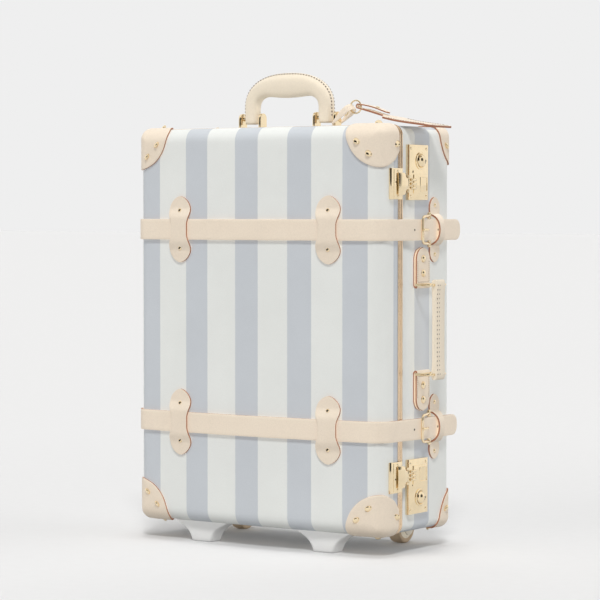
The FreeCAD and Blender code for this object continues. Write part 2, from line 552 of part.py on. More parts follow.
# Buckles: a leather tab that arches over the strap and holds a brass frame by the ends of its bar
draw_about("0", "0")
tab_form = bridge("tab_form", "Size.tab_lobe", "Size.tab_waist", "Size.tab_rivets", "Size.tab_rise",
                  "(Size.strap_wide/2+0.8)")
draw_about("Size.middle_x", "Size.middle_y")
BAR_X = f"({SIDE}+Size.run_lift-0.3-Size.bar_round)"
FRONT_BAR_X = f"({SIDE}+{RUN_OUT}+0.3+1.9)"
EAR = "(Size.buckle_tall/2+3.6)"
tabs, frames, prongs = [], [], []
for rise, word in ((1, "upper"), (-1, "lower")):
    level = f"({MID}+({rise})*Size.strap_spread/2)"
    sleeves = [copy_at(f"tab_at_{word}", tab_form, SIDE, TAB_Y, level)]
    for end in (-1, 1):
        ear_z = f"{level}+({end})*({EAR}-1.7)"
        sleeves.append(box(f"sleeve_{word}_{end + 1}", (f"{BAR_X}-Size.bar_round-1.3",
                                                        f"{BAR_Y}-Size.bar_round-1.3",
                                                        f"{ear_z}-1.5"),
                           ("2*Size.bar_round+2.6", "2*Size.bar_round+2.6", "3")))
        sleeves.append(box(f"tongue_{word}_{end + 1}", (f"{SIDE}+Size.seat_gap", BAR_Y, f"{ear_z}-1.5"),
                           ("Size.leather_thick", f"{TAB_Y}-{BAR_Y}", "3")))
    bore = box(f"bar_bore_{word}", (f"{BAR_X}-Size.bar_round-0.05", f"{BAR_Y}-Size.bar_round-0.05",
                                    f"{level}-{EAR}-1"),
               ("2*Size.bar_round+0.1", "2*Size.bar_round+0.1", f"2*{EAR}+2"))
    tabs.append(cut(f"buckle_tab_{word}", fuse(f"tab_body_{word}", sleeves), bore))
    for end in (-1, 1):
        base_heads.append(rivet(f"tab_head_{word}_{end + 1}", f"{SIDE}+{LEATHER}+0.1", TAB_Y,
                                f"{level}+({end})*Size.tab_rivets/2", FACING["right"]))
    bars = [rod(f"hinge_bar_{word}", (BAR_X, BAR_Y, level), "Z", "Size.bar_round", f"2*{EAR}"),
            octagonal(f"front_bar_{word}", (FRONT_BAR_X, FRONT_BAR_Y, level), "Z", "1.9",
                      "Size.buckle_tall")]
    for end in (-1, 1):
        rail_z = f"{level}+({end})*(Size.buckle_tall/2-1.7)-1.7"
        bars.append(slab(f"rail_{word}_{end + 1}", "XY_Plane", ("0", "0", rail_z),
                         [(f"{BAR_X}-1.5", f"{BAR_Y}+1.8"), (f"{BAR_X}+1.7", f"{BAR_Y}+1.8"),
                          (f"{FRONT_BAR_X}+1.9", f"{FRONT_BAR_Y}+4"), (f"{FRONT_BAR_X}+1.9", FRONT_BAR_Y),
                          (f"{FRONT_BAR_X}-1.2", f"{FRONT_BAR_Y}-0.6"), (f"{BAR_X}-1.5", f"{BAR_Y}-5")],
                          "3.4"))
    frames.append(fuse(f"buckle_frame_{word}", bars))
    arm_low = f"{FRONT_BAR_X}+2.2"
    arm = slab(f"prong_arm_{word}", "XY_Plane", ("0", "0", f"{level}-1.8"),
               [(f"{BAR_X}+1", f"{BAR_Y}-2.2"), (f"{BAR_X}+2.4", f"{BAR_Y}+0.2"),
                (f"{arm_low}+1.7", f"{BAR_Y}-9"),
                (f"{arm_low}+1.7", f"{FRONT_BAR_Y}-2.2"), (arm_low, f"{FRONT_BAR_Y}-2.8"),
                (arm_low, f"{BAR_Y}-10.5")], "3.6")
    knuckle = rod(f"prong_knuckle_{word}", (BAR_X, BAR_Y, level), "Z", "Size.bar_round+1.1", "3.6")
    prongs.append(cut(f"buckle_prong_{word}", fuse(f"prong_body_{word}", [arm, knuckle]),
                      rod(f"prong_bore_{word}", (BAR_X, BAR_Y, level), "Z", "Size.bar_round+0.06", "10")))

# Locks: a box with ears and a pin on the base, a hasp, a turning knob, and a catch on the lid
LOCK_FRONT = f"({SEAM}+Size.lock_back)"
LOCK_OUT = f"({SIDE}+Size.seat_gap+Size.lock_thick)"
PIN_X, PIN_Y = LOCK_OUT, f"({LOCK_FRONT}-3.4)"
KNOB_Y = f"({LOCK_FRONT}+Size.lock_wide*0.58)"
lock_plates, hasps, knobs, catches, lock_heads, catch_heads = [], [], [], [], [], []
for rise, word in ((1, "upper"), (-1, "lower")):
    middle = f"({MID}+({rise})*(Size.body_height/2-Size.lock_from_end))"
    hasp_z = f"({middle}-({rise})*Size.lock_tall*0.21)"
    knob_z = f"({middle}+({rise})*Size.lock_tall*0.21)"
    body = slab(f"lock_box_{word}", "YZ_Plane", ("0", middle, f"{SIDE}+Size.seat_gap"),
                [(LOCK_FRONT, "-Size.lock_tall/2"), (f"{LOCK_FRONT}+Size.lock_wide", "-Size.lock_tall/2"),
                 (f"{LOCK_FRONT}+Size.lock_wide", "Size.lock_tall/2"), (LOCK_FRONT, "Size.lock_tall/2")],
                "Size.lock_thick")
    outer = doc.getObject(body.Name).Shape.BoundBox.XMax
    round_edges(body, "1", lambda e: abs(e.BoundBox.XMin - outer) < 1e-6, "Chamfer")
    extras = [body, octagonal(f"knob_ring_{word}", (f"{LOCK_OUT}+0.4", KNOB_Y, knob_z), "X",
                              "Size.knob_round+2.6", "2", 16),
              box(f"lock_flap_{word}", (f"{LOCK_OUT}-0.5", f"{LOCK_FRONT}+6", f"{hasp_z}-9"),
                  ("1.6", "30", "18")),
              rod(f"hasp_pin_{word}", (PIN_X, PIN_Y, hasp_z), "Z", "1.25", "21")]
    for end in (-1, 1):
        extras.append(octagonal(f"lock_ear_{word}_{end + 1}", (PIN_X, PIN_Y, f"{hasp_z}+({end})*9"), "Z",
                                "2.6", "3.2"))
        extras.append(box(f"lock_web_{word}_{end + 1}", (f"{PIN_X}-2.6", PIN_Y, f"{hasp_z}+({end})*9-1.6"),
                          ("2.6", f"{LOCK_FRONT}-{PIN_Y}+1", "3.2")))
    lock_plates.append(cut(f"lock_plate_{word}", fuse(f"lock_body_{word}", extras),
                           rod(f"knob_seat_{word}", (f"{LOCK_OUT}+8", KNOB_Y, knob_z), "X",
                               "Size.knob_round+0.3",
                               "20")))
    stem_x = f"({LOCK_OUT}-1.9)"
    cap = octagonal(f"knob_cap_{word}", (f"{stem_x}+2.2+Size.knob_high/2", KNOB_Y, knob_z), "X",
                    "Size.knob_round*0.8",
                    "Size.knob_high-0.6", 12)
    stem = rod(f"knob_stem_{word}", (f"{stem_x}+1.6", KNOB_Y, knob_z), "X", "Size.knob_round", "3.2")
    slot = box(f"knob_slot_{word}", (f"{stem_x}+Size.knob_high", f"{KNOB_Y}-1", f"{knob_z}-4"),
               ("6", "2", "8"))
    knobs.append(cut(f"lock_knob_{word}", fuse(f"knob_body_{word}", [stem, cap]), slot))
    hasp_in = f"({SIDE}+Size.seat_gap+Size.catch_thick+0.5)"
    arm = slab(f"hasp_arm_{word}", "YZ_Plane", ("0", hasp_z, hasp_in),
               [(PIN_Y, "-7"), (PIN_Y, "7"), (f"{PIN_Y}-3.4", "7"), (f"{PIN_Y}-7", "9"),
                (f"{PIN_Y}-11", "14"), (f"{PIN_Y}-Size.hasp_long", "14"),
                (f"{PIN_Y}-Size.hasp_long", "-14"), (f"{PIN_Y}-11", "-14"), (f"{PIN_Y}-7", "-9"),
                (f"{PIN_Y}-3.4", "-7")], "Size.hasp_thick")
    barrel = rod(f"hasp_barrel_{word}", (PIN_X, PIN_Y, hasp_z), "Z", "2.6", "14")
    hasps.append(cut(f"hasp_{word}", fuse(f"hasp_body_{word}", [arm, barrel]),
                     rod(f"hasp_bore_{word}", (PIN_X, PIN_Y, hasp_z), "Z", "1.3", "30")))
    catch_low = f"{hasp_z}-Size.catch_tall/2"
    catches.append(fuse(f"catch_plate_{word}", [
        box(f"catch_block_{word}", (f"{SIDE}+Size.seat_gap", f"{LID_EDGE}-0.3-Size.catch_wide", catch_low),
            ("Size.catch_thick", "Size.catch_wide", "Size.catch_tall")),
        box(f"catch_lip_{word}", (f"{SIDE}+Size.trim_proud+0.3", f"{LID_EDGE}-1", catch_low),
            ("Size.catch_thick+Size.seat_gap-Size.trim_proud-0.3", "Size.trim_wide+0.4",
             "Size.catch_tall"))]))
    for end in (-1, 1):
        for along in ("4.5", "Size.lock_wide-4.5"):
            lock_heads.append(octagonal(f"lock_screw_{word}_{end + 1}_{len(lock_heads)}",
                                  (f"{LOCK_OUT}+0.45", f"{LOCK_FRONT}+{along}",
                                   f"{middle}+({end})*(Size.lock_tall/2-5)"),
                                  "X", "1.9", "0.8"))
        catch_heads.append(octagonal(f"catch_screw_{word}_{end + 1}",
                               (f"{SIDE}+Size.seat_gap+Size.catch_thick+0.45", f"{LID_EDGE}-6",
                                f"{hasp_z}+({end})*(Size.catch_tall/2-2.8)"), "X", "2", "0.8"))

# Side handle: stitched tabs, brass rings that swing in their folds, and a grip between the rings
RING_X = f"({SIDE}+Size.seat_gap+Size.side_tab_thick)"
GRIP_X = f"({RING_X}+Size.side_reach)"
SIDE_Y = f"({SEAM}+Size.side_back)"
side_tabs, side_rings, grip_bores = [], [], []
for rise, word in ((1, "upper"), (-1, "lower")):
    fold_z = f"({MID}+({rise})*Size.side_span/2)"
    end_z = f"({fold_z}+({rise})*31)"
    tall = f"31"
    low = fold_z if rise > 0 else end_z
    leather = fuse(f"side_tab_body_{word}", [
        box(f"side_tab_plate_{word}", (f"{SIDE}+Size.seat_gap", f"{SIDE_Y}-Size.side_tab_wide/2", low),
            ("Size.side_tab_thick", "Size.side_tab_wide", tall)),
        octagonal(f"side_tab_end_{word}", (f"{SIDE}+Size.seat_gap+Size.side_tab_thick/2", SIDE_Y, end_z),
                  "X",
                  "Size.side_tab_wide/2", "Size.side_tab_thick", 16),
        rod(f"side_tab_fold_{word}", (RING_X, SIDE_Y, fold_z), "Y", "Size.side_tab_thick",
            "Size.side_tab_wide")])
    side_tabs.append(cut(f"side_tab_{word}", leather,
                         rod(f"side_tab_bore_{word}", (RING_X, SIDE_Y, fold_z), "Y",
                             "Size.ring_wire*0.86", "60")))
    for far in ("14", "32"):
        base_heads.append(rivet(f"side_head_{word}_{far}", f"{RING_X}+0.1", SIDE_Y,
                                f"{fold_z}+({rise})*{far}",
                                FACING["right"]))
    ring = doc.addObject("PartDesign::Body", f"side_ring_{word}")
    drawing = sketch_on(ring, "XY_Plane", (f"({RING_X}+{GRIP_X})/2", SIDE_Y, f"{fold_z}-Size.ring_wire/2"))
    for more, eased in (("Size.ring_wire", "1.6"), ("-Size.ring_wire", "0.4")):
        wide, long = f"((Size.side_reach+({more}))/2)", f"((Size.side_tab_wide+1+Size.ring_wire+({more}))/2)"
        outline(drawing, [(f"-{wide}", f"{eased}-{long}"), (f"{eased}-{wide}", f"-{long}"),
                          (f"{wide}-{eased}", f"-{long}"), (wide, f"{eased}-{long}"),
                          (wide, f"{long}-{eased}"),
                          (f"{wide}-{eased}", long), (f"{eased}-{wide}", long),
                          (f"-{wide}", f"{long}-{eased}")])
    pad(ring, drawing, "Size.ring_wire")
    side_rings.append(ring)
    grip_bores.append(rod(f"grip_bore_{word}", (GRIP_X, SIDE_Y, fold_z), "Y", "Size.ring_wire*0.86", "60"))
grip_half = "(Size.side_span/2+6.5)"
grip = slab("side_grip_form", "XY_Plane", ("0", "0", f"{MID}-{grip_half}"),
            [(f"{GRIP_X}-Size.side_grip_thick/2", f"{SIDE_Y}-Size.side_grip_wide/2"),
             (f"{GRIP_X}+Size.side_grip_thick/2", f"{SIDE_Y}-Size.side_grip_wide/2"),
             (f"{GRIP_X}+Size.side_grip_thick/2", f"{SIDE_Y}+Size.side_grip_wide/2"),
             (f"{GRIP_X}-Size.side_grip_thick/2", f"{SIDE_Y}+Size.side_grip_wide/2")], f"2*{grip_half}")
round_edges(grip, "Size.side_grip_thick*0.3", lambda e: runs_along(e, Z_AXIS), "Chamfer")
side_grip = cut("side_handle_grip", grip, fuse("grip_bores", grip_bores))

# Carry handle: a padded arch on two clevis lugs
PIVOT_Z = f"({TOP}+Size.pivot_high)"
LEG_X = "(Size.handle_outer/2-Size.handle_leg/2)"
half, inner = "(Size.handle_outer/2)", "(Size.handle_outer/2-Size.handle_leg)"
handle = slab("carry_form", "XZ_Plane", ("0", PIVOT_Z, "-Size.handle_thick/2"),
              [(f"-{half}", "-Size.handle_drop"), (f"-{half}", "Size.handle_rise"),
               (half, "Size.handle_rise"),
               (half, "-Size.handle_drop"), (inner, "-Size.handle_drop"),
               (inner, "Size.handle_rise-Size.grip_deep"),
               (f"-{inner}", "Size.handle_rise-Size.grip_deep"), (f"-{inner}", "-Size.handle_drop")],
              "Size.handle_thick")
crest = handle.Tip.Shape.BoundBox.ZMax
round_edges(handle, "Size.handle_outer*0.18",
            lambda e: runs_along(e, Y_AXIS) and e.BoundBox.ZMin > crest - 1, "Chamfer")
under = crest - float(sheet.grip_deep)
round_edges(handle, "Size.handle_leg*0.5",
            lambda e: runs_along(e, Y_AXIS) and under - 1 < e.BoundBox.ZMin < under + 1, "Chamfer")
foot = handle.Tip.Shape.BoundBox.ZMin
round_edges(handle, "Size.handle_thick*0.24",
            lambda e: not (runs_along(e, Y_AXIS)
                           or runs_along(e, X_AXIS) and e.BoundBox.ZMax < foot + 1),
            "Chamfer")
carry_grip = cut("carry_handle_grip", handle,
                 rod("carry_bore", ("0", "0", PIVOT_Z), "X", "Size.pin_round+0.06", "Size.handle_outer+20"))
lugs = []
POST_IN = "(Size.handle_leg/2+Size.post_gap)"
POST_OUT = f"({POST_IN}+Size.post_thick)"
for side, word in ((-1, "left"), (1, "right")):
    centre = f"({side})*{LEG_X}"
    pieces = [box(f"lug_plate_{word}", (f"{centre}-{POST_OUT}-3", "-12", f"{TOP}+0.1"),
                  (f"2*{POST_OUT}+6", "24", "1.6"))]
    for end in (-1, 1):
        x = f"{centre}+({end})*({POST_IN}+Size.post_thick/2)"
        pieces.append(box(f"lug_post_{word}_{end + 1}", (f"{x}-Size.post_thick/2", "-7", f"{TOP}+0.1"),
                          ("Size.post_thick", "14", "Size.pivot_high")))
        pieces.append(octagonal(f"lug_eye_{word}_{end + 1}", (x, "0", PIVOT_Z), "X", "7",
                                "Size.post_thick", 16))
    pieces.append(rod(f"carry_pin_{word}", (centre, "0", PIVOT_Z), "X", "Size.pin_round",
                      f"2*{POST_IN}+Size.post_thick"))
    lugs.append(fuse(f"lug_{word}", pieces))

# Trolley: a sunk cup, fixed outer tubes, sliding inner tubes, and a pull with a release button
cup = doc.addObject("PartDesign::Body", "cup_form")
drawing = sketch_on(cup, "XY_Plane", ("0", CUP_MIDDLE, f"{TOP}-Size.cup_deep"))
rounded_rectangle(drawing, "Size.cup_wide", "Size.cup_long", "6")
pad(cup, drawing, "Size.cup_deep+0.2")
flange = doc.addObject("PartDesign::Body", "cup_flange")
drawing = sketch_on(flange, "XY_Plane", ("0", CUP_MIDDLE, f"{TOP}+0.1"))
rounded_rectangle(drawing, "Size.cup_wide+6", "Size.cup_long+6", "9")
pad(flange, drawing, "1.4")
well = doc.addObject("PartDesign::Body", "cup_hollow")
drawing = sketch_on(well, "XY_Plane", ("0", CUP_MIDDLE, f"{TOP}-Size.cup_deep+Size.cup_wall"))
rounded_rectangle(drawing, "Size.cup_wide-2*Size.cup_wall", "Size.cup_long-2*Size.cup_wall", "4")
pad(well, drawing, "Size.cup_deep+20")
PULL_LOW = f"({TOP}+1.5-Size.pull_tall)"
INNER_WIDE = "(Size.tube_wide-2*Size.tube_wall-0.6)"
INNER_LONG = "(Size.tube_long-2*Size.tube_wall-0.6)"
passages, outer_tubes, inner_tubes = [], [], []
for side, word in ((-1, "left"), (1, "right")):
    x = f"({side})*(Size.cup_wide/2-Size.tube_inset)"
    passages.append(box(f"tube_passage_{word}", (f"{x}-{INNER_WIDE}/2-0.4", f"{PULL_Y}-{INNER_LONG}/2-0.4",
                                                 f"{TOP}-Size.cup_deep-5"),
                        (f"{INNER_WIDE}+0.8", f"{INNER_LONG}+0.8", "Size.cup_wall+10")))
    tube_low = f"({FLOOR}+Size.wall+0.3)"
    tube_tall = f"(Size.body_height-Size.cup_deep-Size.wall-0.6)"
    skin = box(f"outer_tube_skin_{word}", (f"{x}-Size.tube_wide/2", f"{PULL_Y}-Size.tube_long/2", tube_low),
               ("Size.tube_wide", "Size.tube_long", tube_tall))
    bore = box(f"outer_tube_bore_{word}", (f"{x}-Size.tube_wide/2+Size.tube_wall",
                                           f"{PULL_Y}-Size.tube_long/2+Size.tube_wall", f"{tube_low}+6"),
               ("Size.tube_wide-2*Size.tube_wall", "Size.tube_long-2*Size.tube_wall", tube_tall))
    outer_tubes.append(cut(f"outer_tube_{word}", skin, bore))
    inner_tubes.append(box(f"inner_tube_{word}", (f"{x}-{INNER_WIDE}/2", f"{PULL_Y}-{INNER_LONG}/2",
                                                  f"{tube_low}+36"),
                           (INNER_WIDE, INNER_LONG, f"{PULL_LOW}-{tube_low}-36")))
trolley_cup = cut("trolley_cup", fuse("cup_body", [cup, flange]), fuse("cup_spaces", [well] + passages))
pull = doc.addObject("PartDesign::Body", "pull_form")
drawing = sketch_on(pull, "XY_Plane", ("0", PULL_Y, PULL_LOW))
rounded_rectangle(drawing, "Size.cup_wide-2*Size.pull_clear", "Size.pull_long", "Size.pull_long*0.4")
pad(pull, drawing, "Size.pull_tall")
ceiling = pull.Tip.Shape.BoundBox.ZMax
round_edges(pull, "2.5", lambda e: e.BoundBox.ZMin > ceiling - 0.01, "Chamfer")
scoop = rod("pull_scoop", ("0", f"{PULL_Y}-Size.pull_long/2-2", f"{PULL_LOW}+6"), "X", "6", "110")
button_seat = box("button_seat", ("-Size.button_wide/2-0.4", f"{PULL_Y}-Size.button_long/2-0.4",
                                  f"{TOP}+1.5-Size.button_travel-4"),
                  ("Size.button_wide+0.8", "Size.button_long+0.8", "20"))
trolley_pull = cut("trolley_pull", pull, fuse("pull_spaces", [scoop, button_seat]))
trolley_button = box("trolley_button", ("-Size.button_wide/2", f"{PULL_Y}-Size.button_long/2",
                                        f"{TOP}+1.5-3.6"),
                     ("Size.button_wide", "Size.button_long", "Size.button_travel+1.6"))

# Wheels in wells at the rear, with cheeks and a fixed axle each
WHEEL_Y = f"({REAR}-Size.wheel_inset)"
wells, wheels = [], []
for side, word in ((-1, "left"), (1, "right")):
    x = f"({side})*({SIDE}-Size.wheel_from_side)"
    inside = "(Size.wheel_wide/2+2)"
    block = box(f"well_block_{word}", (f"{x}-{WELL_HALF}", WELL_FRONT, FLOOR),
                (f"2*{WELL_HALF}", f"{REAR}-{WELL_FRONT}-1", f"{WELL_TOP}-{FLOOR}"))
    hollow = box(f"well_hollow_{word}", (f"{x}-{inside}", f"{WELL_FRONT}+Size.well_wall", "-5"),
                 (f"2*{inside}", "Size.wheel_round*4", f"{WELL_TOP}-Size.well_wall+5"))
    cheeks = [block]
    for end in (-1, 1):
        cheek_x = f"{x}+({end})*({WELL_HALF}-Size.well_wall/2)"
        cheeks.append(octagonal(f"cheek_{word}_{end + 1}", (cheek_x, WHEEL_Y, "Size.wheel_round"), "X",
                                "9.5",
                                "Size.well_wall", 16))
    wells.append(fuse(f"wheel_well_{word}", [
        cut(f"well_open_{word}", fuse(f"well_body_{word}", cheeks), hollow),
        rod(f"axle_{word}", (x, WHEEL_Y, "Size.wheel_round"), "X", "Size.axle_round", f"2*{WELL_HALF}")]))
    tread = rod(f"wheel_form_{word}", (x, WHEEL_Y, "Size.wheel_round"), "X", "Size.wheel_round",
                "Size.wheel_wide")
    hub = octagonal(f"wheel_hub_{word}", (x, WHEEL_Y, "Size.wheel_round"), "X", "Size.axle_round+3",
                    "Size.wheel_wide+1.6", 12)
    dishes = [octagonal(f"wheel_dish_{word}_{end + 1}", (f"{x}+({end})*Size.wheel_wide/2", WHEEL_Y,
                                                         "Size.wheel_round"),
                        "X", "Size.wheel_round*0.66", "4", 24) for end in (-1, 1)]
    tyre = fuse(f"wheel_body_{word}",
                [cut(f"wheel_dished_{word}", tread, fuse(f"wheel_dishes_{word}", dishes)), hub])
    wheels.append(cut(f"wheel_{word}", tyre, rod(f"wheel_bore_{word}", (x, WHEEL_Y, "Size.wheel_round"),
                                                 "X",
                                                 "Size.axle_round+0.06", "80")))

# Feet: flared mouldings fitted to the lid's rounded lower edge
foot_fit = lid_hull("foot_fit_form", "Size.seat_gap", f"{LID_EDGE}+30")
feet = []
for side, word in ((-1, "left"), (1, "right")):
    x = f"({side})*({SIDE}-Size.foot_from_side)"
    rise = "(Size.ground_clear+8)"
    moulding = slab(f"foot_form_{word}", "XZ_Plane", (x, "0", f"-({APEX}+Size.foot_front+Size.foot_deep)"),
                    [("-Size.foot_toe/2", "0"), ("Size.foot_toe/2", "0"), ("Size.foot_toe/2+3.5", "5"),
                     ("Size.foot_toe/2+8", "Size.ground_clear*0.66"),
                     ("Size.foot_head/2-3", "Size.ground_clear-2"),
                     ("Size.foot_head/2", rise), ("-Size.foot_head/2", rise),
                     ("3-Size.foot_head/2", "Size.ground_clear-2"),
                     ("-Size.foot_toe/2-8", "Size.ground_clear*0.66"), ("-Size.foot_toe/2-3.5", "5")],
                    "Size.foot_deep")
    round_edges(moulding, "3", lambda e: e.BoundBox.ZMax < 0.01 and runs_along(e, X_AXIS), "Chamfer")
    feet.append(cut(f"foot_{word}", moulding, foot_fit))

# Hinges on the left side: two base knuckles with a fixed pin, and a lid knuckle that turns on it
HINGE_X = f"(-{SIDE}-Size.trim_proud-0.4-Size.knuckle_round)"
lid_leaves, base_leaves = [], []
for step, step_word in ((-1, "low"), (1, "high")):
    z = f"({MID}+({step})*Size.hinge_apart/2)"
    third = "(Size.hinge_tall/3)"
    clear = "(Size.knuckle_round+0.4)"
    leaf_x = f"-{SIDE}-Size.trim_proud-0.3-Size.leaf_thick"
    pin = rod(f"hinge_pin_{step_word}", (HINGE_X, SEAM, z), "Z", "Size.hinge_pin", "Size.hinge_tall-4")
    for part, way, rows in (("lid", -1, (0,)), ("base", 1, (-1, 1))):
        low_y = f"{SEAM}-{clear}-Size.leaf_wide" if way < 0 else f"{SEAM}+{clear}"
        name = f"{part}_leaf_{step_word}"
        pieces = [box(name + "_plate", (leaf_x, low_y, f"{z}-Size.hinge_tall/2"),
                      ("Size.leaf_thick", "Size.leaf_wide", "Size.hinge_tall"))]
        for row in rows:
            row_z = f"{z}+({row})*{third}"
            pieces.append(octagonal(f"{name}_knuckle_{row + 1}", (HINGE_X, SEAM, row_z), "Z",
                                    "Size.knuckle_round",
                                    f"{third}-0.4", 12))
            pieces.append(box(f"{name}_tongue_{row + 1}", (leaf_x, SEAM if way > 0 else f"{SEAM}-{clear}-1",
                                                           f"{row_z}-{third}/2+0.2"),
                              ("Size.leaf_thick", f"{clear}+1", f"{third}-0.4")))
        if part == "base":
            base_leaves.append(fuse(name, pieces + [pin]))
        else:
            bore = rod(name + "_bore", (HINGE_X, SEAM, z), "Z", "Size.hinge_pin+0.05", "Size.hinge_tall+10")
            lid_leaves.append(cut(name, fuse(name + "_body", pieces), bore))

# Luggage tag: a lace round the right lug's outer post, a brass link and a leather flap
LACE_LOW_X = f"({LEG_X}+Size.handle_leg/2+Size.post_gap/2)"
LACE_LONG, LACE_ANGLE = "34", "40"
draw_about("0", "0")
lace = doc.addObject("PartDesign::Body", "lace_form")
drawing = sketch_on(lace, "XY_Plane", (f"{LACE_LONG}/2", "0", "-Size.lace_thick/2"))
for more, eased in (("Size.lace_thick", "2"), ("-Size.lace_thick", "1")):
    wide, long = f"(({LACE_LONG}+({more}))/2)", f"((16+Size.lace_thick+({more}))/2)"
    outline(drawing, [(f"-{wide}", f"{eased}-{long}"), (f"{eased}-{wide}", f"-{long}"),
                      (f"{wide}-{eased}", f"-{long}"),
                      (wide, f"{eased}-{long}"), (wide, f"{long}-{eased}"), (f"{wide}-{eased}", long),
                      (f"{eased}-{wide}", long), (f"-{wide}", f"{long}-{eased}")])
pad(lace, drawing, "Size.lace_thick")
draw_about("Size.middle_x", "Size.middle_y")
tag_lace = copy_at("tag_lace", lace, LACE_LOW_X, "0", f"{TOP}+3.6", ("0", f"-{LACE_ANGLE}", "0"))
LACE_END_X = f"({LACE_LOW_X}+{LACE_LONG}*cos({LACE_ANGLE}))"
LACE_END_Z = f"({TOP}+3.6+{LACE_LONG}*sin({LACE_ANGLE}))"
LINK_X = f"({LACE_END_X}+Size.link_round-Size.link_wire-1.6)"
link_spot = (LINK_X, "0", LACE_END_Z)
tag_link = cut("tag_link", octagonal("link_outer", link_spot, "Y", "Size.link_round+Size.link_wire",
                                     "2*Size.link_wire", 12),
               rod("link_inner", link_spot, "Y", "Size.link_round-Size.link_wire", "10"))
TAG_X = f"({LINK_X}+Size.link_round-Size.link_wire-2.0)"
draw_about("0", "0")
flap = doc.addObject("PartDesign::Body", "tag_flap_form")
drawing = sketch_on(flap, "XY_Plane", ("Size.tag_long/2+24", "0", "-Size.tag_thick/2"))
rounded_rectangle(drawing, "Size.tag_long-48", "Size.tag_wide", "9")
pad(flap, drawing, "Size.tag_thick")
neck = box("tag_neck_form", ("-1.2", "-6.5", "-Size.tag_thick/2"), ("60", "13", "Size.tag_thick"))
eye = box("tag_eye_form", ("1.2", "-3.5", "-10"), ("9", "7", "20"))
tag_form = cut("tag_form", fuse("tag_outline", [flap, neck]), eye)
draw_about("Size.middle_x", "Size.middle_y")
tag_body = copy_at("tag_body", tag_form, TAG_X, "0", LACE_END_Z,
                   ("0", "Size.tag_slope", "0"))

# Groups of identical pieces
group("lid_fasteners", lid_heads + catch_heads)
group("base_fasteners", base_heads + lock_heads)
group("carry_handle_lugs", lugs)
group("trolley_outer_tubes", outer_tubes)
group("trolley_inner_tubes", inner_tubes)
group("wheel_wells", wells)
group("hinge_lid_leaves", lid_leaves)
group("hinge_base_leaves", base_leaves)

NODES = ["lid_shell", "lid_frame", "lid_lining", "base_shell", "base_frame", "base_lining"]
NODES += [f"{part}_corner_{rise}_{side}" for part in ("lid", "base") for rise in ("top", "bottom")
          for side in ("left", "right")]
NODES += [f"keeper_{rise}_{side}" for rise in ("upper", "lower") for side in ("left", "right")]
for name in ("strap", "buckle_tab", "buckle_frame", "buckle_prong", "lock_plate", "lock_knob", "hasp",
             "catch_plate",
             "side_tab", "side_ring"):
    NODES += [f"{name}_upper", f"{name}_lower"]
NODES += ["side_handle_grip", "carry_handle_grip", "carry_handle_lugs", "trolley_cup",
          "trolley_outer_tubes", "trolley_inner_tubes", "trolley_pull", "trolley_button", "wheel_wells",
          "wheel_left", "wheel_right", "foot_left", "foot_right", "hinge_lid_leaves", "hinge_base_leaves",
          "tag_lace", "tag_link", "tag_body", "lid_fasteners", "base_fasteners"]

doc.recompute()
for thing in doc.Objects:
    if any(word in thing.State for word in ("Invalid", "Error")):
        raise RuntimeError(f"{thing.Label} did not build: {thing.State}")
by_label = {thing.Label: thing for thing in doc.Objects}
os.makedirs("parts", exist_ok=True)
for name in NODES:
    shape = by_label[name].Shape
    if shape.isNull() or not shape.isValid():
        raise RuntimeError(f"{name} is empty or not valid")
    shape.exportStep(f"parts/{name}.step")
print(len(NODES), "nodes")
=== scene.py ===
import math

import bmesh
import bpy
import numpy as np
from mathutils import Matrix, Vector


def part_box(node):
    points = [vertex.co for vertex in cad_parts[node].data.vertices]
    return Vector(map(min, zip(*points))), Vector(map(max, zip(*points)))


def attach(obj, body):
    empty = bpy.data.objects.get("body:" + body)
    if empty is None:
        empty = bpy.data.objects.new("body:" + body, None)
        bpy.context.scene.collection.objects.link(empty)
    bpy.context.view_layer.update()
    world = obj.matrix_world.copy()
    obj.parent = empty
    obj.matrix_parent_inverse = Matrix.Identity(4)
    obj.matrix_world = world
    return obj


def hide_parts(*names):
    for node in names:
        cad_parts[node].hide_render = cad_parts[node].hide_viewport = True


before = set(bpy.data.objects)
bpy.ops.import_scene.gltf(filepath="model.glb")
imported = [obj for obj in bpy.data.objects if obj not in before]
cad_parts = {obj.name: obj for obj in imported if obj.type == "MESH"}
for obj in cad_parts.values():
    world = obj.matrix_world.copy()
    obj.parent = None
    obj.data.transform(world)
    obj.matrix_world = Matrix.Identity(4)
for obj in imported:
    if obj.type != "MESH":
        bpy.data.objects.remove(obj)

bl_info = {
    "name": "Carry-on suitcase",
    "version": (1, 0, 0),
    "blender": (4, 5, 0),
    "location": "3D View > Sidebar > Suitcase",
    "description": "Builds the looks of a striped carry-on suitcase over its packed CAD frame",
    "category": "Object",
}

# The case's own frame in millimetres: x about its middle, y about mid-depth, z up from the floor
LID_LOW, LID_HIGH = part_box("lid_shell")
BASE_LOW, BASE_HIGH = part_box("base_shell")
MM = 0.001
MIDDLE = np.array([(BASE_LOW.x + BASE_HIGH.x) / 2, (LID_LOW.y + BASE_HIGH.y) / 2, 0.0])
SIDE = (BASE_HIGH.x - BASE_LOW.x) / 2 / MM
FLOOR, TOP = BASE_LOW.z / MM, BASE_HIGH.z / MM
MID, HALF_TALL = (FLOOR + TOP) / 2, (TOP - FLOOR) / 2
APEX = (LID_LOW.y - MIDDLE[1]) / MM
REAR = (BASE_HIGH.y - MIDDLE[1]) / MM
LID_EDGE = (LID_HIGH.y - MIDDLE[1]) / MM
BASE_EDGE = (BASE_LOW.y - MIDDLE[1]) / MM
SEAM = (LID_EDGE + BASE_EDGE) / 2

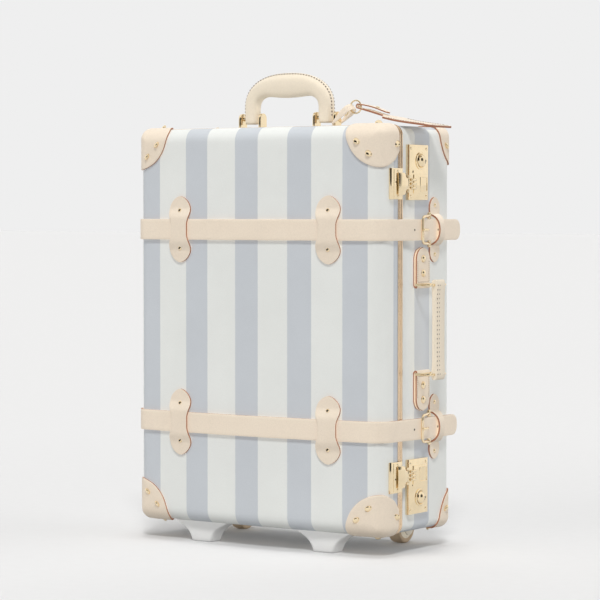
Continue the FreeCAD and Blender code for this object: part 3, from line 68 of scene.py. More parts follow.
# The lid's front is crowned across its width, and the case's edges are rounded
CROWN, CROWN_FADE = 10.0, 20.0
CROWN_RADIUS = SIDE ** 2 / (2 * CROWN) + CROWN / 2
CORNER_ROUND, FRONT_ROUND, REAR_ROUND = 12.0, 17.0, 8.0

# The straps' heights, the gap under leather on the covering, and ways that heads face
STRAP_RISE = 122.5
STRAP_LEVELS = {"upper": MID + STRAP_RISE, "lower": MID - STRAP_RISE}
LEATHER_SEAT = 0.3
RIGHT, FRONT = (1, 0, 0), (0, -1, 0)


# Sizes and colours that a user would change

def length(name, description, default):
    return bpy.props.FloatProperty(name=name, description=description, default=default, unit="LENGTH")


def tint(name, description, default):
    return bpy.props.FloatVectorProperty(
        name=name, description=description, subtype="COLOR", size=3, default=default)


class SuitcaseSizes(bpy.types.PropertyGroup):
    leather: length("Leather", "Thickness of the corners and keepers", 0.0022)
    rivet: length("Rivet", "Radius of a domed rivet head", 0.0048)
    rivet_rise: length("Rivet rise", "Height of a domed rivet head", 0.0024)
    stitch: length("Stitch", "Pitch of the stitching on the handles", 0.0042)
    stripe: length("Stripe", "Width of one grey and one white stripe together", 0.0789)
    grey_share: bpy.props.FloatProperty(
        name="Grey share", description="Share of the stripe's width that is grey",
        default=0.441, subtype="FACTOR")


class SuitcaseColours(bpy.types.PropertyGroup):
    white: tint("White stripe", "Off-white of the covering", (0.790, 0.805, 0.780))
    grey: tint("Grey stripe", "Blue-grey of the covering", (0.575, 0.605, 0.640))
    leather: tint("Leather", "Natural leather's face", (0.825, 0.715, 0.585))
    cream: tint("Handle leather", "Cream leather of the handles", (0.830, 0.735, 0.595))
    cut_edge: tint("Cut edge", "Reddish cut edge of the leather", (0.380, 0.165, 0.095))
    brass: tint("Brass", "Polished brass", (0.920, 0.760, 0.510))
    moulding: tint("Feet", "White moulded feet", (0.800, 0.800, 0.790))


# Materials

FINISHES = {}


def feed(tree, socket, value):
    """Join a node's output to a socket, or set the socket's own value."""
    if isinstance(value, bpy.types.NodeSocket):
        tree.links.new(value, socket)
    else:
        socket.default_value = value


def node_adder(tree):
    """A function that adds a node, feeds its inputs by name or as i0, i1, and gives back one output."""

    def add(kind, output=0, settings=None, **inputs):
        node = tree.nodes.new(kind if "Node" in kind else "ShaderNode" + kind)
        for key, value in (settings or {}).items():
            setattr(node, key, value)
        for key, value in inputs.items():
            number = key.removeprefix("i")
            feed(tree, node.inputs[int(number) if number.isdigit() else key], value)
        return node.outputs[output]

    return add


class Finish:
    """A material's node tree, with short ways to add the nodes that most finishes share."""

    def __init__(self, name):
        made = bpy.data.materials.new(name)
        made.use_nodes = True
        FINISHES[name] = made
        self.tree = made.node_tree
        self.add = node_adder(self.tree)
        self.where = self.add("TexCoord", "Object")

    def put(self, name, value):
        feed(self.tree, self.tree.nodes["Principled BSDF"].inputs[name], value)

    def noise(self, scale, detail, roughness=0.5, where=None):
        place = self.where if where is None else where
        return self.add("TexNoise", "Fac", Vector=place, Scale=scale, Detail=detail, Roughness=roughness)

    def maths(self, operation, *values):
        inputs = {f"i{number}": value for number, value in enumerate(values)}
        return self.add("Math", "Value", {"operation": operation}, **inputs)

    def spread(self, source, low, high, least, most):
        return self.add("MapRange", "Result", i0=source, i1=low, i2=high, i3=least, i4=most)

    def toned(self, colour, factor):
        return self.add("VectorMath", "Vector", {"operation": "SCALE"}, i0=colour, Scale=factor)

    def bump(self, height, strength, distance=0.0002):
        self.put("Normal", self.add("Bump", "Normal", Strength=strength, Distance=distance, Height=height))

    def ramp(self, source, stops):
        colour = self.add("ValToRGB", "Color", Fac=source)
        bar = colour.node.color_ramp
        while len(bar.elements) > 1:
            bar.elements.remove(bar.elements[-1])
        bar.elements[0].position = stops[0][0]
        bar.elements[0].color = (*stops[0][1], 1)
        for place, stop in stops[1:]:
            bar.elements.new(place).color = (*stop, 1)
        return colour


def shade(colour, factor):
    """A colour made lighter or darker, by one factor or by one for each channel."""
    return tuple(np.minimum(1.0, np.multiply(tuple(colour), factor)))


def covering_finish(sizes, colours):
    """Coated covering with broad stripes along U, a fine pebble grain and a little handling dirt."""
    made = Finish("striped_covering")
    across = made.add("SeparateXYZ", "X", Vector=made.add("UVMap", "UV", {"uv_map": "stripes"}))
    wander = made.spread(made.noise(140.0, 2.0), 0.3, 0.7, -0.0016, 0.0016)
    turn = made.maths("FRACT", made.maths("ADD", across, wander))
    white, grey, share, soft = tuple(colours.white), tuple(colours.grey), sizes.grey_share, 0.006
    stops = [(0.0, white), (soft, grey), (share, grey), (share + soft, white), (1.0, white)]
    band = made.ramp(turn, stops)
    cloud = made.noise(9.0, 5.0, 0.6)
    dirt = made.spread(cloud, 0.25, 0.75, 0.955, 1.035)
    fleck = made.spread(made.noise(1500.0, 1.0), 0.3, 0.7, 0.975, 1.025)
    made.put("Base Color", made.toned(band, made.maths("MULTIPLY", dirt, fleck)))
    pebble = made.add("TexVoronoi", "Distance", {"feature": "SMOOTH_F1"}, Vector=made.where, Scale=1100.0)
    made.bump(pebble, 0.16)
    made.put("Roughness", made.spread(cloud, 0.3, 0.7, 0.42, 0.56))
    made.put("Specular IOR Level", 0.42)


def leather_finish(name, colour, rough=(0.46, 0.62)):
    """Vegetable-tanned leather: soft mottling, pores, faint creases."""
    made = Finish(name)
    cloud = made.noise(26.0, 6.0, 0.62)
    dark, pale = shade(colour, 0.955), shade(colour, (1.02, 1.03, 1.035))
    face = made.ramp(cloud, [(0.22, dark), (0.48, colour), (0.80, pale)])
    pores = made.add("TexVoronoi", "Distance", {"feature": "F1"}, Vector=made.where, Scale=950.0)
    fine = made.noise(520.0, 4.0)
    made.put("Base Color", made.toned(face, made.spread(fine, 0.30, 0.62, 0.965, 1.015)))
    made.bump(made.maths("MULTIPLY_ADD", fine, 0.8, pores), 0.20, 0.00025)
    made.put("Roughness", made.spread(cloud, 0.3, 0.7, *rough))
    made.put("Specular IOR Level", 0.35)
    made.put("Sheen Weight", 0.06)


def edge_finish(name, colour):
    """The fibrous cut edge of leather."""
    made = Finish(name)
    fibre = made.noise(420.0, 5.0, 0.7)
    dark, pale = shade(colour, 0.72), shade(colour, 1.45)
    made.put("Base Color", made.ramp(fibre, [(0.25, dark), (0.55, colour), (0.85, pale)]))
    made.bump(fibre, 0.35, 0.0003)
    made.put("Roughness", 0.68)


def metal_finish(name, colour, rough=(0.07, 0.17), scratch=0.03):
    """Polished metal with faint scratches and a few duller clouds."""
    made = Finish(name)
    cloud = made.noise(60.0, 5.0, 0.6)
    dark, pale = shade(colour, 0.90), shade(colour, 1.06)
    made.put("Base Color", made.ramp(cloud, [(0.25, dark), (0.55, colour), (0.85, pale)]))
    made.put("Roughness", made.spread(cloud, 0.3, 0.75, *rough))
    stretched = made.add("Mapping", "Vector", Vector=made.where, Scale=(900.0, 900.0, 60.0))
    made.bump(made.noise(1.0, 3.0, where=stretched), scratch)
    made.put("Metallic", 1.0)


def plastic_finish(name, colour, rough=(0.34, 0.46), grain=900.0, relief=0.06):
    """Moulded plastic with a faint spark-eroded texture."""
    made = Finish(name)
    cloud = made.noise(22.0, 4.0)
    made.put("Base Color", made.ramp(cloud, [(0.2, shade(colour, 0.95)), (0.8, shade(colour, 1.03))]))
    made.put("Roughness", made.spread(cloud, 0.3, 0.7, *rough))
    made.bump(made.noise(grain, 3.0), relief)


def cloth_finish(name, colour):
    """A plain weave: two crossed waves."""
    made = Finish(name)
    threads, wave = 1500.0, 6.3
    warp, weft = [made.add("TexWave", "Fac", {"bands_direction": way}, Vector=made.where,
                           Scale=threads / wave, Distortion=0.4) for way in ("X", "Z")]
    weave = made.maths("MULTIPLY", warp, weft)
    mixed = made.maths("MULTIPLY_ADD", weave, 0.5, made.noise(14.0, 2.0))
    made.put("Base Color", made.ramp(mixed, [(0.2, shade(colour, 0.965)), (0.95, shade(colour, 1.02))]))
    made.bump(weave, 0.25, 0.0003)
    made.put("Roughness", 0.86)
    made.put("Sheen Weight", 0.15)


def make_finishes(sizes, colours):
    covering_finish(sizes, colours)
    leather_finish("natural_leather", tuple(colours.leather))
    leather_finish("strap_leather", shade(colours.leather, 1.035), rough=(0.44, 0.58))
    leather_finish("cream_leather", tuple(colours.cream), rough=(0.36, 0.50))
    edge_finish("leather_edge", tuple(colours.cut_edge))
    metal_finish("polished_brass", tuple(colours.brass))
    metal_finish("rubbed_brass", (0.800, 0.610, 0.420), rough=(0.12, 0.22))
    metal_finish("bright_tube", (0.72, 0.71, 0.69), rough=(0.16, 0.22), scratch=0.0075)
    plastic_finish("white_moulding", tuple(colours.moulding))
    plastic_finish("ivory_moulding", (0.72, 0.67, 0.57))
    plastic_finish("tan_rubber", (0.50, 0.38, 0.26), rough=(0.55, 0.72), relief=0.15)
    # Near-black finish for the dark dots and the keyhole: painted shade of holes.
    plastic_finish("painted_hole_shade", (0.030, 0.022, 0.018), rough=(0.6, 0.8))
    plastic_finish("stitch_thread", (0.17, 0.13, 0.10), rough=(0.7, 0.85), grain=2600.0, relief=0.3)
    cloth_finish("lining_cloth", (0.69, 0.64, 0.55))


# Mesh helpers, in millimetres of the case's frame; a form is a pair of points and faces

def own_box(node):
    """Low and high corners of a CAD node in the case's frame."""
    return [(np.array(corner) - MIDDLE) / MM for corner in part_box(node)]


def placed(points):
    """Points of the case's frame, where the scene has them."""
    return np.asarray(points, float) * MM + MIDDLE


def quarter(steps):
    """Angles of a quarter turn after its start."""
    return [math.radians(90 * k / steps) for k in range(1, steps + 1)]


def ease(t):
    return 3 * t ** 2 - 2 * t ** 3


def swell(value, power):
    """A power that keeps its sign; below one it squares up a sine or a cosine."""
    return math.copysign(abs(value) ** power, value)


def link_object(name, data):
    made = bpy.data.objects.new(name, data)
    bpy.context.scene.collection.objects.link(made)
    return made


def add_mesh(name, form, *finishes):
    points, faces = form
    mesh = bpy.data.meshes.new(name)
    mesh.from_pydata(placed(points).tolist(), [], [tuple(int(i) for i in f) for f in faces])
    for finish in finishes:
        mesh.materials.append(FINISHES[finish])
    mesh.polygons.foreach_set("use_smooth", [True] * len(mesh.polygons))
    mesh.validate()
    return link_object(name, mesh)


def tidy(made, merge=0.00001, outward=True, core=None):
    """Merge doubles, drop slivers and turn faces outwards, away from the core where one is given."""
    shape = bmesh.new()
    shape.from_mesh(made.data)
    bmesh.ops.remove_doubles(shape, verts=shape.verts, dist=merge)
    bmesh.ops.dissolve_degenerate(shape, dist=merge / 2, edges=shape.edges)
    if outward:
        bmesh.ops.recalc_face_normals(shape, faces=shape.faces)
    if core is not None:
        middle = Vector(placed(core))
        lean = sum((f.calc_center_median() - middle).dot(f.normal) * f.calc_area() for f in shape.faces)
        if lean < 0:
            bmesh.ops.reverse_faces(shape, faces=shape.faces)
    shape.to_mesh(made.data)
    shape.free()
    return made


def settle(made, body, slot, *nodes):
    """Make a piece ride on its body and stand for its CAD nodes; its slot is not used."""
    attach(made, body)
    if nodes:
        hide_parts(*nodes)
    return made


def grid_faces(rows, columns, wrap=False):
    faces = []
    for r in range(rows - 1):
        for c in range(columns if wrap else columns - 1):
            d = (c + 1) % columns
            low, high = r * columns, (r + 1) * columns
            faces.append((low + c, low + d, high + d, high + c))
    return faces


def tube_faces(rows, count, closed=False):
    """Faces of a row of rings: the last ring joined to the first, or both ends capped."""
    faces = grid_faces(rows, count, wrap=True)
    last = (rows - 1) * count
    if closed:
        return faces + [(last + c, last + (c + 1) % count, (c + 1) % count, c) for c in range(count)]
    return faces + [tuple(reversed(range(count))), tuple(range(last, last + count))]


def patch(grid):
    """The form of a grid of places."""
    return grid.reshape(-1, 3), grid_faces(*grid.shape[:2])


def lay(x, y, z):
    """The form of a patch whose coordinates broadcast to rows and columns."""
    return patch(np.stack(np.broadcast_arrays(x, y, z), -1))


def bundle(forms):
    """Join several forms into one."""
    points, faces, start = [], [], 0
    for p, f in forms:
        points.append(np.asarray(p, float))
        faces += [tuple(i + start for i in face) for face in f]
        start += len(p)
    return np.concatenate(points), faces


def crown(x):
    return np.asarray(x, float) ** 2 / (2 * CROWN_RADIUS)


def crowned(points):
    """Push the lid's points back by the crown, fading out towards the seam."""
    points = np.array(points, float)
    weight = np.clip((LID_EDGE - points[:, 1]) / CROWN_FADE, 0, 1)
    points[:, 1] += crown(np.clip(points[:, 0], -SIDE, SIDE)) * weight
    return points


def thicken(made, thick, offset):
    solid = made.modifiers.new("thickness", "SOLIDIFY")
    solid.thickness = thick * MM
    solid.offset = offset
    return solid


def round_arrises(made, width, angle, segments=2):
    arris = made.modifiers.new("arris", "BEVEL")
    arris.width = width * MM
    arris.segments = segments
    arris.limit_method = "ANGLE"
    arris.angle_limit = math.radians(angle)
    arris.use_clamp_overlap = True
    return arris


def bake_modifiers(made):
    """Turn the evaluated mesh into the piece's own."""
    graph = bpy.context.evaluated_depsgraph_get()
    graph.update()
    shown = made.evaluated_get(graph)
    final = bpy.data.meshes.new_from_object(shown, preserve_all_data_layers=True, depsgraph=graph)
    made.modifiers.clear()
    old = made.data
    made.data = final
    bpy.data.meshes.remove(old)
    return made


def sweep(path, section, closed=False, up=(0.0, 0.0, 1.0), scale=None):
    """A closed section swept along a path; scale holds a (side, up) pair for each point."""
    path, section = np.asarray(path, float), np.asarray(section, float)
    tangent = np.roll(path, -1, 0) - np.roll(path, 1, 0) if closed else np.gradient(path, axis=0)
    tangent /= np.linalg.norm(tangent, axis=1)[:, None]
    side = np.cross(tangent, np.asarray(up, float))
    side /= np.maximum(np.linalg.norm(side, axis=1), 1e-9)[:, None]
    rise = np.cross(side, tangent)
    scale = np.ones((len(path), 2)) if scale is None else np.asarray(scale, float)
    rows = [p + section[:, :1] * k[0] * s + section[:, 1:] * k[1] * r
            for p, s, r, k in zip(path, side, rise, scale)]
    return np.concatenate(rows), tube_faces(len(path), len(section), closed)


def circle(radius, count=14):
    angle = np.linspace(0, 2 * np.pi, count, endpoint=False)
    return np.stack([np.cos(angle), np.sin(angle)], 1) * radius


def rounded_section(wide, tall, radius, steps=4):
    """A rounded rectangle's outline, anticlockwise."""
    points = []
    for sx, sy, start in ((1, 1, 0), (-1, 1, 90), (-1, -1, 180), (1, -1, 270)):
        for k in range(steps + 1):
            a = math.radians(start + 90 * k / steps)
            points.append((sx * (wide / 2 - radius) + radius * math.cos(a),
                           sy * (tall / 2 - radius) + radius * math.sin(a)))
    return np.array(points)


def rounded_path(points, radius, steps=6, closed=False):
    """A polyline with its corners rounded."""
    points = [np.asarray(p, float) for p in points]
    count = len(points)
    result = []
    for i, here in enumerate(points):
        if not closed and i in (0, count - 1):
            result.append(here)
            continue
        a, b = points[i - 1] - here, points[(i + 1) % count] - here
        room = min(radius, np.linalg.norm(a) * 0.49, np.linalg.norm(b) * 0.49)
        start, end = here + a / np.linalg.norm(a) * room, here + b / np.linalg.norm(b) * room
        for t in np.linspace(0, 1, steps + 1):
            result.append((1 - t) ** 2 * start + 2 * t * (1 - t) * here + t ** 2 * end)
    return np.array(result)


def lathe(profile, centre, axis="X", count=40):
    """Spin (along, radius) pairs about an axis through a point."""
    points = []
    for along, radius in profile:
        for c, s in circle(radius, count):
            points.append({"X": (along, c, s), "Y": (c, along, s), "Z": (c, s, along)}[axis])
    return np.array(points) + np.asarray(centre, float), grid_faces(len(profile), count, wrap=True)


def ball(centre, radius, squash=(1, 1, 1), rings=7):
    angles = [math.pi * i / rings for i in range(rings + 1)]
    points, faces = lathe([(math.cos(a), math.sin(a)) for a in angles], (0, 0, 0), "Z", 14)
    return points * radius * np.asarray(squash, float) + np.asarray(centre, float), faces


def block(low, high, bevel):
    """A box with its arrises rounded."""
    low, high = np.asarray(low, float), np.asarray(high, float)
    shape = bmesh.new()
    bmesh.ops.create_cube(shape, size=1.0)
    for v in shape.verts:
        v.co = Vector(((v.co[i] + 0.5) * (high[i] - low[i]) + low[i]) for i in range(3))
    bmesh.ops.bevel(shape, geom=list(shape.edges), offset=bevel, segments=2, profile=0.6, affect="EDGES")
    shape.verts.index_update()
    points = np.array([v.co[:] for v in shape.verts])
    faces = [tuple(v.index for v in f.verts) for f in shape.faces]
    shape.free()
    return points, faces


def refined(node, body, slot, finish, bevel, segments=2):
    """A copy of a CAD node with its doubles merged and its arrises rounded, standing for the node."""
    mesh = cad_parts[node].data.copy()
    mesh.materials.clear()
    mesh.materials.append(FINISHES[finish])
    made = link_object(node + "_finished", mesh)
    shape = bmesh.new()
    shape.from_mesh(mesh)
    bmesh.ops.remove_doubles(shape, verts=shape.verts, dist=0.00002)
    bmesh.ops.dissolve_limit(shape, angle_limit=math.radians(1.0), verts=shape.verts, edges=shape.edges)
    for face in shape.faces:
        face.smooth = True
    shape.to_mesh(mesh)
    shape.free()
    round_arrises(made, bevel, 30.0, segments).harden_normals = True
    return settle(bake_modifiers(made), body, slot, node)


def piece(name, forms, finish, body, slot, *nodes, crease=35.0):
    """One piece made of several forms; faces meeting at more than the crease angle stay sharp."""
    made = tidy(add_mesh(name, bundle(forms), finish))
    edges = made.data.attributes.new("sharp_edge", "BOOLEAN", "EDGE")
    shape = bmesh.new()
    shape.from_mesh(made.data)
    limit = math.radians(crease)
    marks = [len(e.link_faces) != 2 or e.calc_face_angle(0.0) > limit for e in shape.edges]
    shape.free()
    edges.data.foreach_set("value", marks)
    return settle(made, body, slot, *nodes)


def brass(name, forms, body, *nodes, **more):
    """A polished brass piece."""
    return piece(name, forms, "polished_brass", body, "polished_brass", *nodes, **more)


def sheet(name, form, core, thick, body, *nodes, finish="natural_leather", edge="leather_edge",
          slot="natural_leather", bevel=0.5):
    """A sheet whose cut edge has its own finish; it grows away from its core, or both ways without one."""
    outward = core is not None
    made = tidy(add_mesh(name, form, finish, edge), outward=outward, core=core)
    solid = thicken(made, thick, 1.0 if outward else 0.0)
    solid.use_even_offset = True
    solid.material_offset_rim = 1
    round_arrises(made, bevel, 50.0)
    return settle(made, body, slot, *nodes)


HEADS_GROUP = "heads_on_points"


def scatter_group():
    """A node group that sets a rounded head on every point, facing along the point's own vector."""
    group = bpy.data.node_groups.new(HEADS_GROUP, "GeometryNodeTree")
    for name, kind in (("Points", "Geometry"), ("Radius", "Float"), ("Rise", "Float"), ("Sides", "Int"),
                       ("Finish", "Material")):
        group.interface.new_socket(name, in_out="INPUT", socket_type="NodeSocket" + kind)
    group.interface.new_socket("Heads", in_out="OUTPUT", socket_type="NodeSocketGeometry")
    add = node_adder(group)
    given = add("NodeGroupInput").node.outputs
    head = add("GeometryNodeMeshUVSphere", "Mesh", Segments=given["Sides"], Rings=8, Radius=1.0)
    size = add("CombineXYZ", "Vector", X=given["Radius"], Y=given["Radius"], Z=given["Rise"])
    vector = {"data_type": "FLOAT_VECTOR"}
    facing = add("GeometryNodeInputNamedAttribute", "Attribute", vector, Name="facing")
    turn = add("FunctionNodeAlignRotationToVector", "Rotation", {"axis": "Z"}, Vector=facing)
    spots = add("GeometryNodeMeshToPoints", "Points", Mesh=given["Points"])
    heads = add("GeometryNodeInstanceOnPoints", "Instances", Points=spots, Instance=head, Rotation=turn,
                Scale=size)
    real = add("GeometryNodeRealizeInstances", "Geometry", Geometry=heads)
    soft = add("GeometryNodeSetShadeSmooth", i0=real)
    coated = add("GeometryNodeSetMaterial", "Geometry", Geometry=soft, Material=given["Finish"])
    result = group.nodes.new("NodeGroupOutput")
    group.links.new(coated, result.inputs["Heads"])
    return group


def scatter(name, spots, facing, radius, rise, finish, body, slot, *nodes, sides=16):
    """Rivets, screws, stitches and the painted shade of holes: one rounded head at each spot, in millimetres.
    """
    group = bpy.data.node_groups.get(HEADS_GROUP) or scatter_group()
    mesh = bpy.data.meshes.new(name)
    mesh.from_pydata(placed(spots).tolist(), [], [])
    vector = mesh.attributes.new("facing", "FLOAT_VECTOR", "POINT")
    vector.data.foreach_set("vector", np.asarray(facing, np.float32).ravel())
    made = link_object(name, mesh)
    setter = made.modifiers.new("heads", "NODES")
    setter.node_group = group
    names = {item.name: item.identifier for item in group.interface.items_tree if item.in_out == "INPUT"}
    setter[names["Radius"]] = radius * MM
    setter[names["Rise"]] = rise * MM
    setter[names["Sides"]] = sides
    setter[names["Finish"]] = FINISHES[finish]
    return settle(bake_modifiers(made), body, slot, *nodes)


def stitch(name, spots, ways, radius, half_long, body):
    """Stitches that lie along their ways."""
    scatter(name, spots, ways, radius, half_long, "stitch_thread", body, "natural_leather", sides=8)


# Dark dots laid on a face where a hole would be: painted shade of the hole.
def painted_shade_dots(name, spots, facing, radius, rise, body, slot):
    scatter(name, spots, facing, radius, rise, "painted_hole_shade", body, slot, sides=14)


HEADS = {}


def note_head(kind, body, spot, facing):
    """Remember a rivet, pin or screw; the fasteners' operator sets its head."""
    HEADS.setdefault((kind, body), []).append((spot, facing))


# The striped shells

SHELL_THICK = 2.6
FACE_INSETS = [24, 34, 48, 64, 82, 100, 118, 136, 154, 170, 184]
CUP_HALF, CUP_LIP = 107.2, 3.2
WELL_X, WELL_HALF, WELL_FRONT, WELL_TALL = 124, 12.9, 45.0, 19.4
LID_STRIPE_START, SIDE_STRIPE_START, REAR_STRIPE_START = 26.4, 1.0, 83.0


def perimeter(inset, x_lines, z_lines):
    """Points round the case's outline at an inset, clockwise from the top's left end."""
    radius = max(CORNER_ROUND - inset, 0.0)
    half_x, half_z = SIDE - inset, HALF_TALL - inset
    run_x, run_z = half_x - radius, half_z - radius
    x_places = [float(np.clip(x, -run_x, run_x)) for x in x_lines]
    z_places = [float(np.clip(z, -run_z, run_z)) for z in z_lines]

    def arc(cx, cz, start):
        angles = [math.radians(start) - turn for turn in quarter(8)[:-1]]
        return [(cx + radius * math.cos(a), cz + radius * math.sin(a)) for a in angles]

    places = [(x, half_z) for x in x_places] + arc(run_x, run_z, 90)
    places += [(half_x, z) for z in reversed(z_places)] + arc(run_x, -run_z, 0)
    places += [(x, -half_z) for x in reversed(x_places)] + arc(-run_x, -run_z, -90)
    places += [(-half_x, z) for z in z_places] + arc(-run_x, run_z, 180)
    return np.array(places)


def shell_form(rings, skip):
    """The form of a tray: rings of (inset, y), closed by its last ring and open where faces are skipped."""
    right = [18, 36, 54, 72, 90, 107.3, 111, 124, 137, 150, SIDE - CORNER_ROUND]
    x_lines = [-x for x in reversed(right)] + [0] + right
    z_lines = list(np.linspace(-1, 1, 17) * (HALF_TALL - CORNER_ROUND))
    rows = [perimeter(inset, x_lines, z_lines) for inset, _ in rings]
    count = len(rows[0])
    points = np.array([(x, y, MID + z) for places, (_, y) in zip(rows, rings) for x, z in places])
    faces = grid_faces(len(rings), count, wrap=True)
    faces = [face for face in faces if not skip(points[list(face)].mean(0))]
    faces.append(tuple(range((len(rings) - 1) * count, len(rings) * count)))
    return points, faces


def lid_stripe(x, y, on_side):
    """How far round the lid a place is, from the middle of its front."""
    return LID_STRIPE_START + (math.copysign(abs(x) + (y - APEX), x) if on_side else x)


def base_stripe(x, y, on_side):
    """How far round the base a place is, from the middle of its right side."""
    if on_side and x > 0:
        return y + (SIDE - x) + SIDE_STRIPE_START
    if on_side:
        return REAR_STRIPE_START + 2 * SIDE + (REAR - y) + (SIDE + x)
    return REAR_STRIPE_START + (SIDE - x)


def lay_stripes(made, stripe, pitch):
    """Stripe coordinates face by face, so that the pattern breaks cleanly where a side meets the top."""
    mesh = made.data
    layer = mesh.uv_layers.new(name="stripes")
    for face in mesh.polygons:
        normal = face.normal
        on_side = abs(normal.x) > abs(normal.z) and abs(normal.x) > 0.02
        for corner in face.loop_indices:
            x, y, z = (np.array(mesh.vertices[mesh.loops[corner].vertex_index].co) - MIDDLE) / MM
            layer.data[corner].uv = (stripe(x, y, on_side) / pitch, z / 100.0)


def make_shell(body, rings, stripe, pitch, skip, core_y):
    """One shell's covering, with its stripes laid before the lid is crowned."""
    made = add_mesh(body + "_covering", shell_form(rings, skip), "striped_covering")
    tidy(made, merge=0.00002, core=(0, core_y, MID))
    lay_stripes(made, stripe, pitch)
    if body == "lid":
        places = np.array([v.co[:] for v in made.data.vertices])
        made.data.vertices.foreach_set("co", placed(crowned((places - MIDDLE) / MM)).ravel())
    thicken(made, SHELL_THICK, -1.0)
    settle(made, body, "striped_covering", body + "_shell")


def rounding(radius, sharp_y, inward):
    """Rings of (inset, y) round an edge, from wall to face; inward is +1 at the front and -1 at the rear."""
    return [(radius * (1 - math.cos(a)), sharp_y + inward * radius * (1 - math.sin(a)))
            for a in [0.0] + quarter(7)]


def build_shells(sizes):
    pitch = sizes.stripe / MM
    rings = [(0.0, LID_EDGE - back) for back in (0, 6, 13, 20)]
    rings += rounding(FRONT_ROUND, APEX, 1)
    rings += [(inset, APEX) for inset in FACE_INSETS]
    make_shell("lid", rings, lid_stripe, pitch, lambda p: False, 20)
    cup_low, cup_high = own_box("trolley_cup")
    cup_front, cup_back = cup_low[1] + CUP_LIP, cup_high[1] - CUP_LIP
    rings = [(0.0, y) for y in (BASE_EDGE, 0.0, cup_front, WELL_FRONT, cup_back)]
    rings += rounding(REAR_ROUND, REAR, -1)
    rings += [(inset, REAR) for inset in [19.5] + FACE_INSETS]

    def opened(p):
        in_cup = abs(p[0]) < CUP_HALF and cup_front < p[1] < cup_back and p[2] > TOP - 1
        in_well = abs(abs(p[0]) - WELL_X) < WELL_HALF and p[1] > WELL_FRONT and p[2] < FLOOR + WELL_TALL
        return in_cup or in_well

    make_shell("base", rings, base_stripe, pitch, opened, -20)


# Leather corners

FRONT_REACH, REAR_REACH, REAR_WIDE = 52.0, 47.0, 28.0
RIVET_SINK = 1.3


def on_corner(branch, q, w, grow, rear):
    """Map a sharp corner's place to the rounded one: branch 0 is the side, 1 the top; w is the profile."""
    rf = (REAR_ROUND if rear else FRONT_ROUND) + grow
    rc = CORNER_ROUND + grow
    q, w = np.asarray(q, float), np.asarray(w, float)
    angle = np.radians(45 * (1 + np.clip(w / rf, -1, 1)))
    inset = np.where(w >= rf, w, rf * (1 - np.cos(angle)))
    depth = np.where(w <= -rf, -w, rf * (1 - np.sin(angle)))
    inner = np.maximum(w, 0)
    room = np.maximum(rc - inner, 0)
    radius = np.maximum(rc - inset, 0)
    theta = np.radians(45) * (1 - np.clip(q / np.maximum(room, 1e-6), 0, 1))
    bent = q < room
    near = np.where(bent, radius * np.cos(theta) - rc, -inset)
    far = np.where(bent, radius * np.sin(theta) - rc, -q - inner)
    x = SIDE + grow + np.where(branch == 0, near, far)
    z = TOP + grow + np.where(branch == 0, far, near)
    y = REAR + grow - depth if rear else APEX - grow + depth
    return np.stack([x, y, z], -1)


def face_places(dx, dz):
    """Branch, q and w of places on the lid's front or the base's rear, from their distances to the edges."""
    dx, dz = np.asarray(dx, float), np.asarray(dz, float)
    return np.where(dx <= dz, 0, 1), np.abs(dx - dz), np.minimum(dx, dz)


def fullness(angle, reach_a, reach_b, power):
    """Radius of a superellipse with the given reaches."""
    c, s = np.abs(np.cos(angle)) / reach_a, np.abs(np.sin(angle)) / reach_b
    return (c ** power + s ** power) ** (-1 / power)


def corner_form(rear):
    """The form of a corner's three sectors at the right top, before it is mirrored."""
    rows, columns = 15, 18
    reach, face_power = (REAR_REACH, 1.9) if rear else (FRONT_REACH, 2.15)
    f = np.linspace(0, 1, rows)[:, None]
    angle = np.radians(np.linspace(0, 90, columns))[None, :]
    ray = f * fullness(angle, reach, reach, face_power)
    places = face_places(ray * np.cos(angle), ray * np.sin(angle))
    forms = [patch(on_corner(*places, LEATHER_SEAT, rear))]
    if rear:
        ray = f * fullness(angle, REAR_WIDE, reach, 1.55)
        back, along = ray * np.cos(angle), ray * np.sin(angle)
    else:
        t = np.linspace(0, 1, columns)[None, :]
        back = t * (LID_EDGE - APEX - 0.6) + 0 * f
        along = f * (reach - 20.0 * t ** 1.35)
    for branch in (0, 1):
        forms.append(patch(on_corner(np.full_like(back, branch), along, -back, LEATHER_SEAT, rear)))
    return bundle(forms)


def corner_spots(rear, grow):
    """Rivet places and facings at the right top corner; those on the top are sunk a little."""
    spots, facing = [], []
    back = 14.0 if rear else 32.0
    places = [face_places(dx, dz) for dx, dz in ((37.0, 22.0), (20.5, 37.0))]
    for place in places + [(np.array(branch), 25.0, -back) for branch in (0, 1)]:
        here = on_corner(*place, grow, rear)
        out = on_corner(*place, grow + 1.0, rear) - here
        out /= np.linalg.norm(out)
        on_top = out[2] > 0.7
        spots.append(here - RIVET_SINK * out if on_top else here)
        facing.append(out)
    return np.array(spots), np.array(facing)


def mirrored(points, left, bottom):
    points = np.array(points, float)
    if left:
        points[..., 0] *= -1
    if bottom:
        points[..., 2] = 2 * MID - points[..., 2]
    return points


def build_corners(sizes):
    thick = sizes.leather / MM
    for rear, body in ((False, "lid"), (True, "base")):
        right_points, faces = corner_form(rear)
        right_spots, right_facing = corner_spots(rear, LEATHER_SEAT + thick)
        if body == "lid":
            right_points, right_spots = crowned(right_points), crowned(right_spots)
        for bottom, rise_word in ((False, "top"), (True, "bottom")):
            for left, side_word in ((True, "left"), (False, "right")):
                node = f"{body}_corner_{rise_word}_{side_word}"
                form = mirrored(right_points, left, bottom), faces
                sheet(node + "_leather", form, (0, 0, MID), thick, body, node)
                facing = right_facing * np.array([-1 if left else 1, 1, -1 if bottom else 1])
                for spot, out in zip(mirrored(right_spots, left, bottom), facing):
                    note_head("rivets", body, spot, out)


# Straps, keepers and buckles

